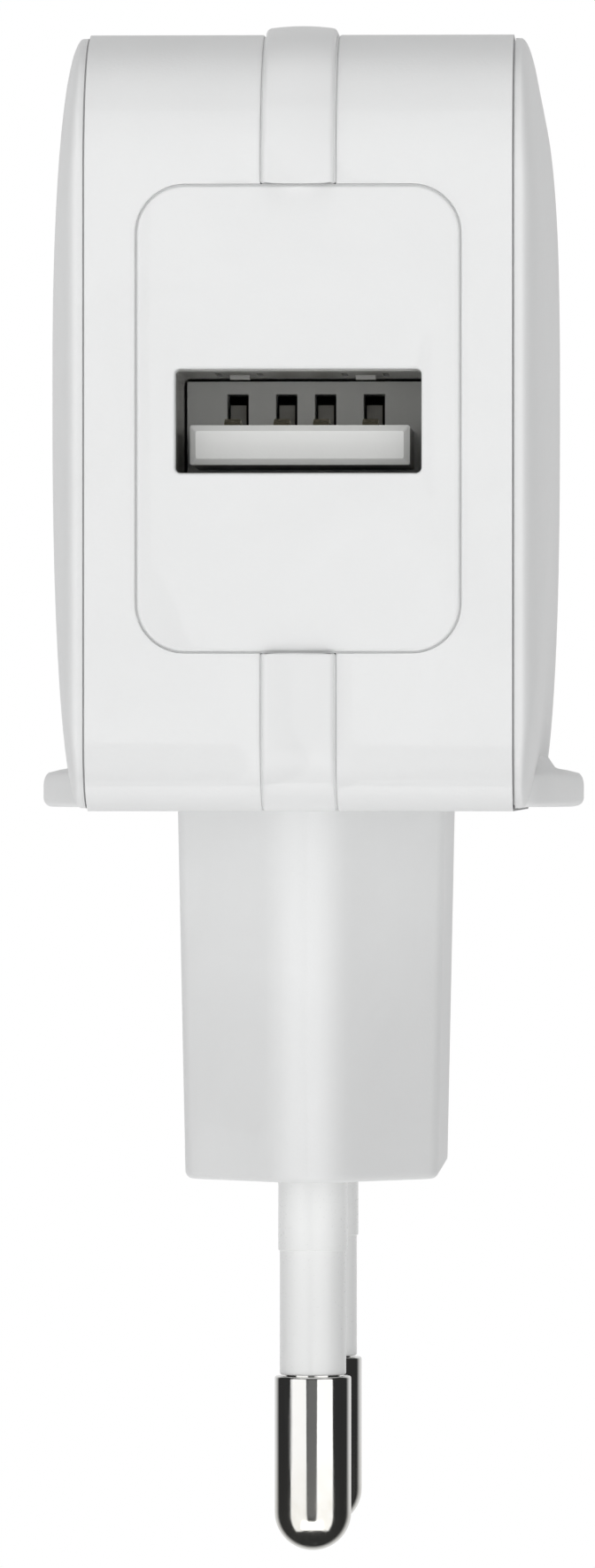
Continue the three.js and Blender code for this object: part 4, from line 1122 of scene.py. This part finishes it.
def sleeved_can(name, node):
    """A shrink sleeve with one pale stripe down the side, and a bare aluminium top with a cross-shaped vent
    whose score lines are painted dark, as painted shade in their grooves."""
    low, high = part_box(node)
    top = high[0] / MM
    middle_y, middle_z = (low[1] + high[1]) / 2 / MM, (low[2] + high[2]) / 2 / MM
    material, tree, shader, vector, base = two_part(
        name, (0.02, 0.03, 0.07), 0.3, "X", low[0] / MM - 1, top - BARE_TOP, (0.68, 0.68, 0.69, 1), grain=1.2)
    x = coordinate(tree, vector, "X")
    y = maths(tree, "SUBTRACT", coordinate(tree, vector, "Y"), middle_y)
    z = maths(tree, "SUBTRACT", coordinate(tree, vector, "Z"), middle_z)
    upright = band_mask(tree, z, -STRIPE_HALF, STRIPE_HALF, 0.05)
    stripe = maths(tree, "MULTIPLY", upright, band_mask(tree, y, 0.5, 20, 0.05))
    side = band_mask(tree, x, low[0] / MM - 1, top - STRIPE_STOP, 0.05)
    striped = blended(tree, maths(tree, "MULTIPLY", stripe, side), base, (0.5, 0.53, 0.58, 1))
    # Painted shade: the vent's cross is painted dark where its score grooves would lie in shade.
    vent = maths(tree, "MAXIMUM", *(band_mask(tree, place, -VENT_HALF, VENT_HALF, 0.08) for place in (y, z)))
    vent_shade = maths(tree, "MULTIPLY", vent, maths(tree, "GREATER_THAN", x, top - VENT_DEPTH))
    tree.links.new(blended(tree, vent_shade, striped, (0.2, 0.2, 0.21, 1)), shader.inputs["Base Color"])
    return material


for node in ("bulk_capacitor_lower", "bulk_capacitor_upper",
             "output_capacitor_lower", "output_capacitor_upper"):
    coat(nodes[node], sleeved_can(node + "_sleeve", node))

# %% [markdown]
# The resistor wears its colour rings, and the board its glass weave and its areas of copper. A flat pattern
# of cells gives those: each cell is one area, and the narrow gap round it is where the copper is etched
# away.

# %% Resistor and board
WIRE_END = 1.1
RING_FIRST, RING_STEP, RING_HALF = 0.24, 0.17, 0.25
GAP_HALF = 0.06
GAP_EDGE = 0.02


def banded_resistor():
    """A lacquered body with coloured rings at even steps, and tinned wire beyond its ends."""
    low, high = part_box("fusible_resistor")
    first, last = low[1] / MM + WIRE_END, high[1] / MM - WIRE_END
    material, tree, shader, vector, base = two_part(
        "banded_lacquer", (0.3, 0.36, 0.42), 0.35, "Y", first, last)
    along = coordinate(tree, vector, "Y")
    rings = [(0.62, 0.28, 0.04), (0.02, 0.02, 0.02), (0.02, 0.02, 0.02), (0.6, 0.42, 0.12)]
    for step, ring in enumerate(rings):
        at = first + (last - first) * (RING_FIRST + RING_STEP * step)
        painted = band_mask(tree, along, at - RING_HALF, at + RING_HALF, 0.03)
        base = blended(tree, painted, base, (*ring, 1))
    tree.links.new(base, shader.inputs["Base Color"])
    return material


def laminate():
    """Glass weave under a green lacquer: two crossed waves for the weave, and cell borders for the gaps
    between the areas of copper, which lie a little lower and look darker."""
    material, tree, shader, vector = start("board_laminate")
    body = use(tree, MOULDED, {"Vector": vector, "Colour": (0.03, 0.16, 0.07, 1), "Roughness": 0.34,
                               "Grain": 4.0, "Grain Share": 0.4, "Drift": 0.3})
    weave = [add(tree, "ShaderNodeTexWave", {"Vector": vector, "Scale": 0.75, "Distortion": 0.4},
                 bands_direction=axis).outputs["Fac"] for axis in ("Y", "Z")]
    crossed = maths(tree, "MULTIPLY", *weave)
    flat = add(tree, "ShaderNodeVectorMath", {0: vector, 1: (0, 1, 1)}, operation="MULTIPLY").outputs[0]
    cells = add(tree, "ShaderNodeTexVoronoi", {"Vector": flat, "Scale": 0.22, "Randomness": 0.7},
                feature="DISTANCE_TO_EDGE").outputs["Distance"]
    copper = mapped(tree, cells, GAP_HALF, GAP_HALF + GAP_EDGE)
    woven = blended(tree, maths(tree, "MULTIPLY", crossed, 0.4), body["Colour"], (0.08, 0.26, 0.12, 1))
    colour = blended(tree, copper, (0.02, 0.1, 0.05, 1), woven)
    height = maths(tree, "ADD", maths(tree, "MULTIPLY", crossed, 0.3), copper)
    plug_in(tree, shader, colour, body["Roughness"], height, 0.03)
    return material


coat(nodes["fusible_resistor"], banded_resistor())
coat(nodes["main_board"], laminate())

# %% [markdown]
# The product stands in soft white light, as in a catalogue. Two large soft boxes light the front from
# both sides, and leave a narrow dark strip straight ahead that gives the polished pins their stripes. Two
# smaller ones reach the underside and the top. The surroundings are white where the camera looks at them,
# and much dimmer where they only light the charger.

# %% Lights
TARGET = (0, 0, 0.026)
BOX_DISTANCE = 1.0
# Azimuth, elevation, width, height and radiance of each.
SOFT_BOXES = {
    "box_left": (-43, -14, 0.95, 1.7, 1.16),
    "box_right": (39, -14, 0.95, 1.7, 1.26),
    "box_low": (0, -42, 1.1, 0.5, 1.65),
    "box_high": (4, 80, 1.1, 0.6, 1.4),
}


def soft_box(name, azimuth, elevation, width, height, radiance):
    """Azimuth 0 is in front of the port and grows towards +X. Power = radiance * pi * area."""
    turn = math.radians(azimuth)
    lift = math.radians(elevation)
    light = bpy.data.lights.new(name, "AREA")
    light.shape = "RECTANGLE"
    light.size = width
    light.size_y = height
    light.energy = radiance * math.pi * width * height
    lamp = bpy.data.objects.new(name, light)
    flat = BOX_DISTANCE * math.cos(lift)
    lamp.location = (TARGET[0] + flat * math.sin(turn), TARGET[1] - flat * math.cos(turn),
                     TARGET[2] + BOX_DISTANCE * math.sin(lift))
    lamp.rotation_euler = (math.pi / 2 - lift, 0, turn)
    lamp.visible_camera = False
    bpy.context.scene.collection.objects.link(lamp)
    print(name, round(light.energy, 2), "W")


def surroundings():
    """White to the camera. To all else a dim fill: brighter behind, below and straight ahead, and dimmer
    towards +X. Mirroring metal gets only the light from behind and a faint glow ahead."""
    world = bpy.data.worlds.new("surroundings")
    world.use_nodes = True
    bpy.context.scene.world = world
    tree = world.node_tree
    tree.nodes.clear()
    out = tree.nodes.new("ShaderNodeOutputWorld")
    place = tree.nodes.new("ShaderNodeTexCoord").outputs["Generated"]
    x, y, z = add(tree, "ShaderNodeSeparateXYZ", {0: place}).outputs[:]
    behind = mapped(tree, y, 0.55, 0.85, 0.0, 0.75)
    below = mapped(tree, z, -0.1, -0.6, 0.0, 0.35)
    beside = mapped(tree, x, 0.3, 0.95, 0.26, 0.05)
    ahead = mapped(tree, y, -0.965, -0.98, 0.0, 1.6)
    glow = mapped(tree, y, -0.93, -0.98, 0.03, 0.16)
    soft = maths(tree, "ADD", maths(tree, "ADD", maths(tree, "ADD", behind, below), beside), ahead)
    mirrored = maths(tree, "ADD", behind, glow)
    seen_by = tree.nodes.new("ShaderNodeLightPath").outputs
    strength = blended_value(tree, seen_by["Is Glossy Ray"], soft, mirrored)
    dim = add(tree, "ShaderNodeBackground", {"Color": (1, 1, 1, 1), "Strength": strength}).outputs[0]
    white = add(tree, "ShaderNodeBackground", {"Color": (1, 1, 1, 1), "Strength": 1.0}).outputs[0]
    mix = add(tree, "ShaderNodeMixShader", {0: seen_by["Is Camera Ray"], 1: dim, 2: white}).outputs[0]
    tree.links.new(mix, out.inputs["Surface"])


for box, numbers in SOFT_BOXES.items():
    soft_box(box, *numbers)
surroundings()
bpy.context.scene.view_settings.view_transform = "Standard"

# %% [markdown]
# A pale disc under the charger throws light back up at its underside, as a table in a studio does. The
# camera and the polished pins don't see it, because a catalogue picture shows the product alone.

# %% Floor
FLOOR_LEVEL = -45 * MM
FLOOR_REACH = 300 * MM
FLOOR_RINGS = 12
FLOOR_POINTS = 96


def pale_floor():
    """A disc: rings of points at even steps of the radius round the middle."""
    radius = np.linspace(0, FLOOR_REACH, FLOOR_RINGS)[:, None]
    angle = np.linspace(0, 2 * math.pi, FLOOR_POINTS, endpoint=False)
    floor = skin("floor", stacked(radius * np.cos(angle), radius * np.sin(angle), FLOOR_LEVEL))
    floor.visible_shadow = False
    floor.visible_glossy = False
    floor.visible_camera = False
    return floor


coat(pale_floor(), plastic("pale_paper", (0.88, 0.88, 0.88), 0.8, grain=1.5, drift=0.03, depth=0.05,
                           specular=0.2))
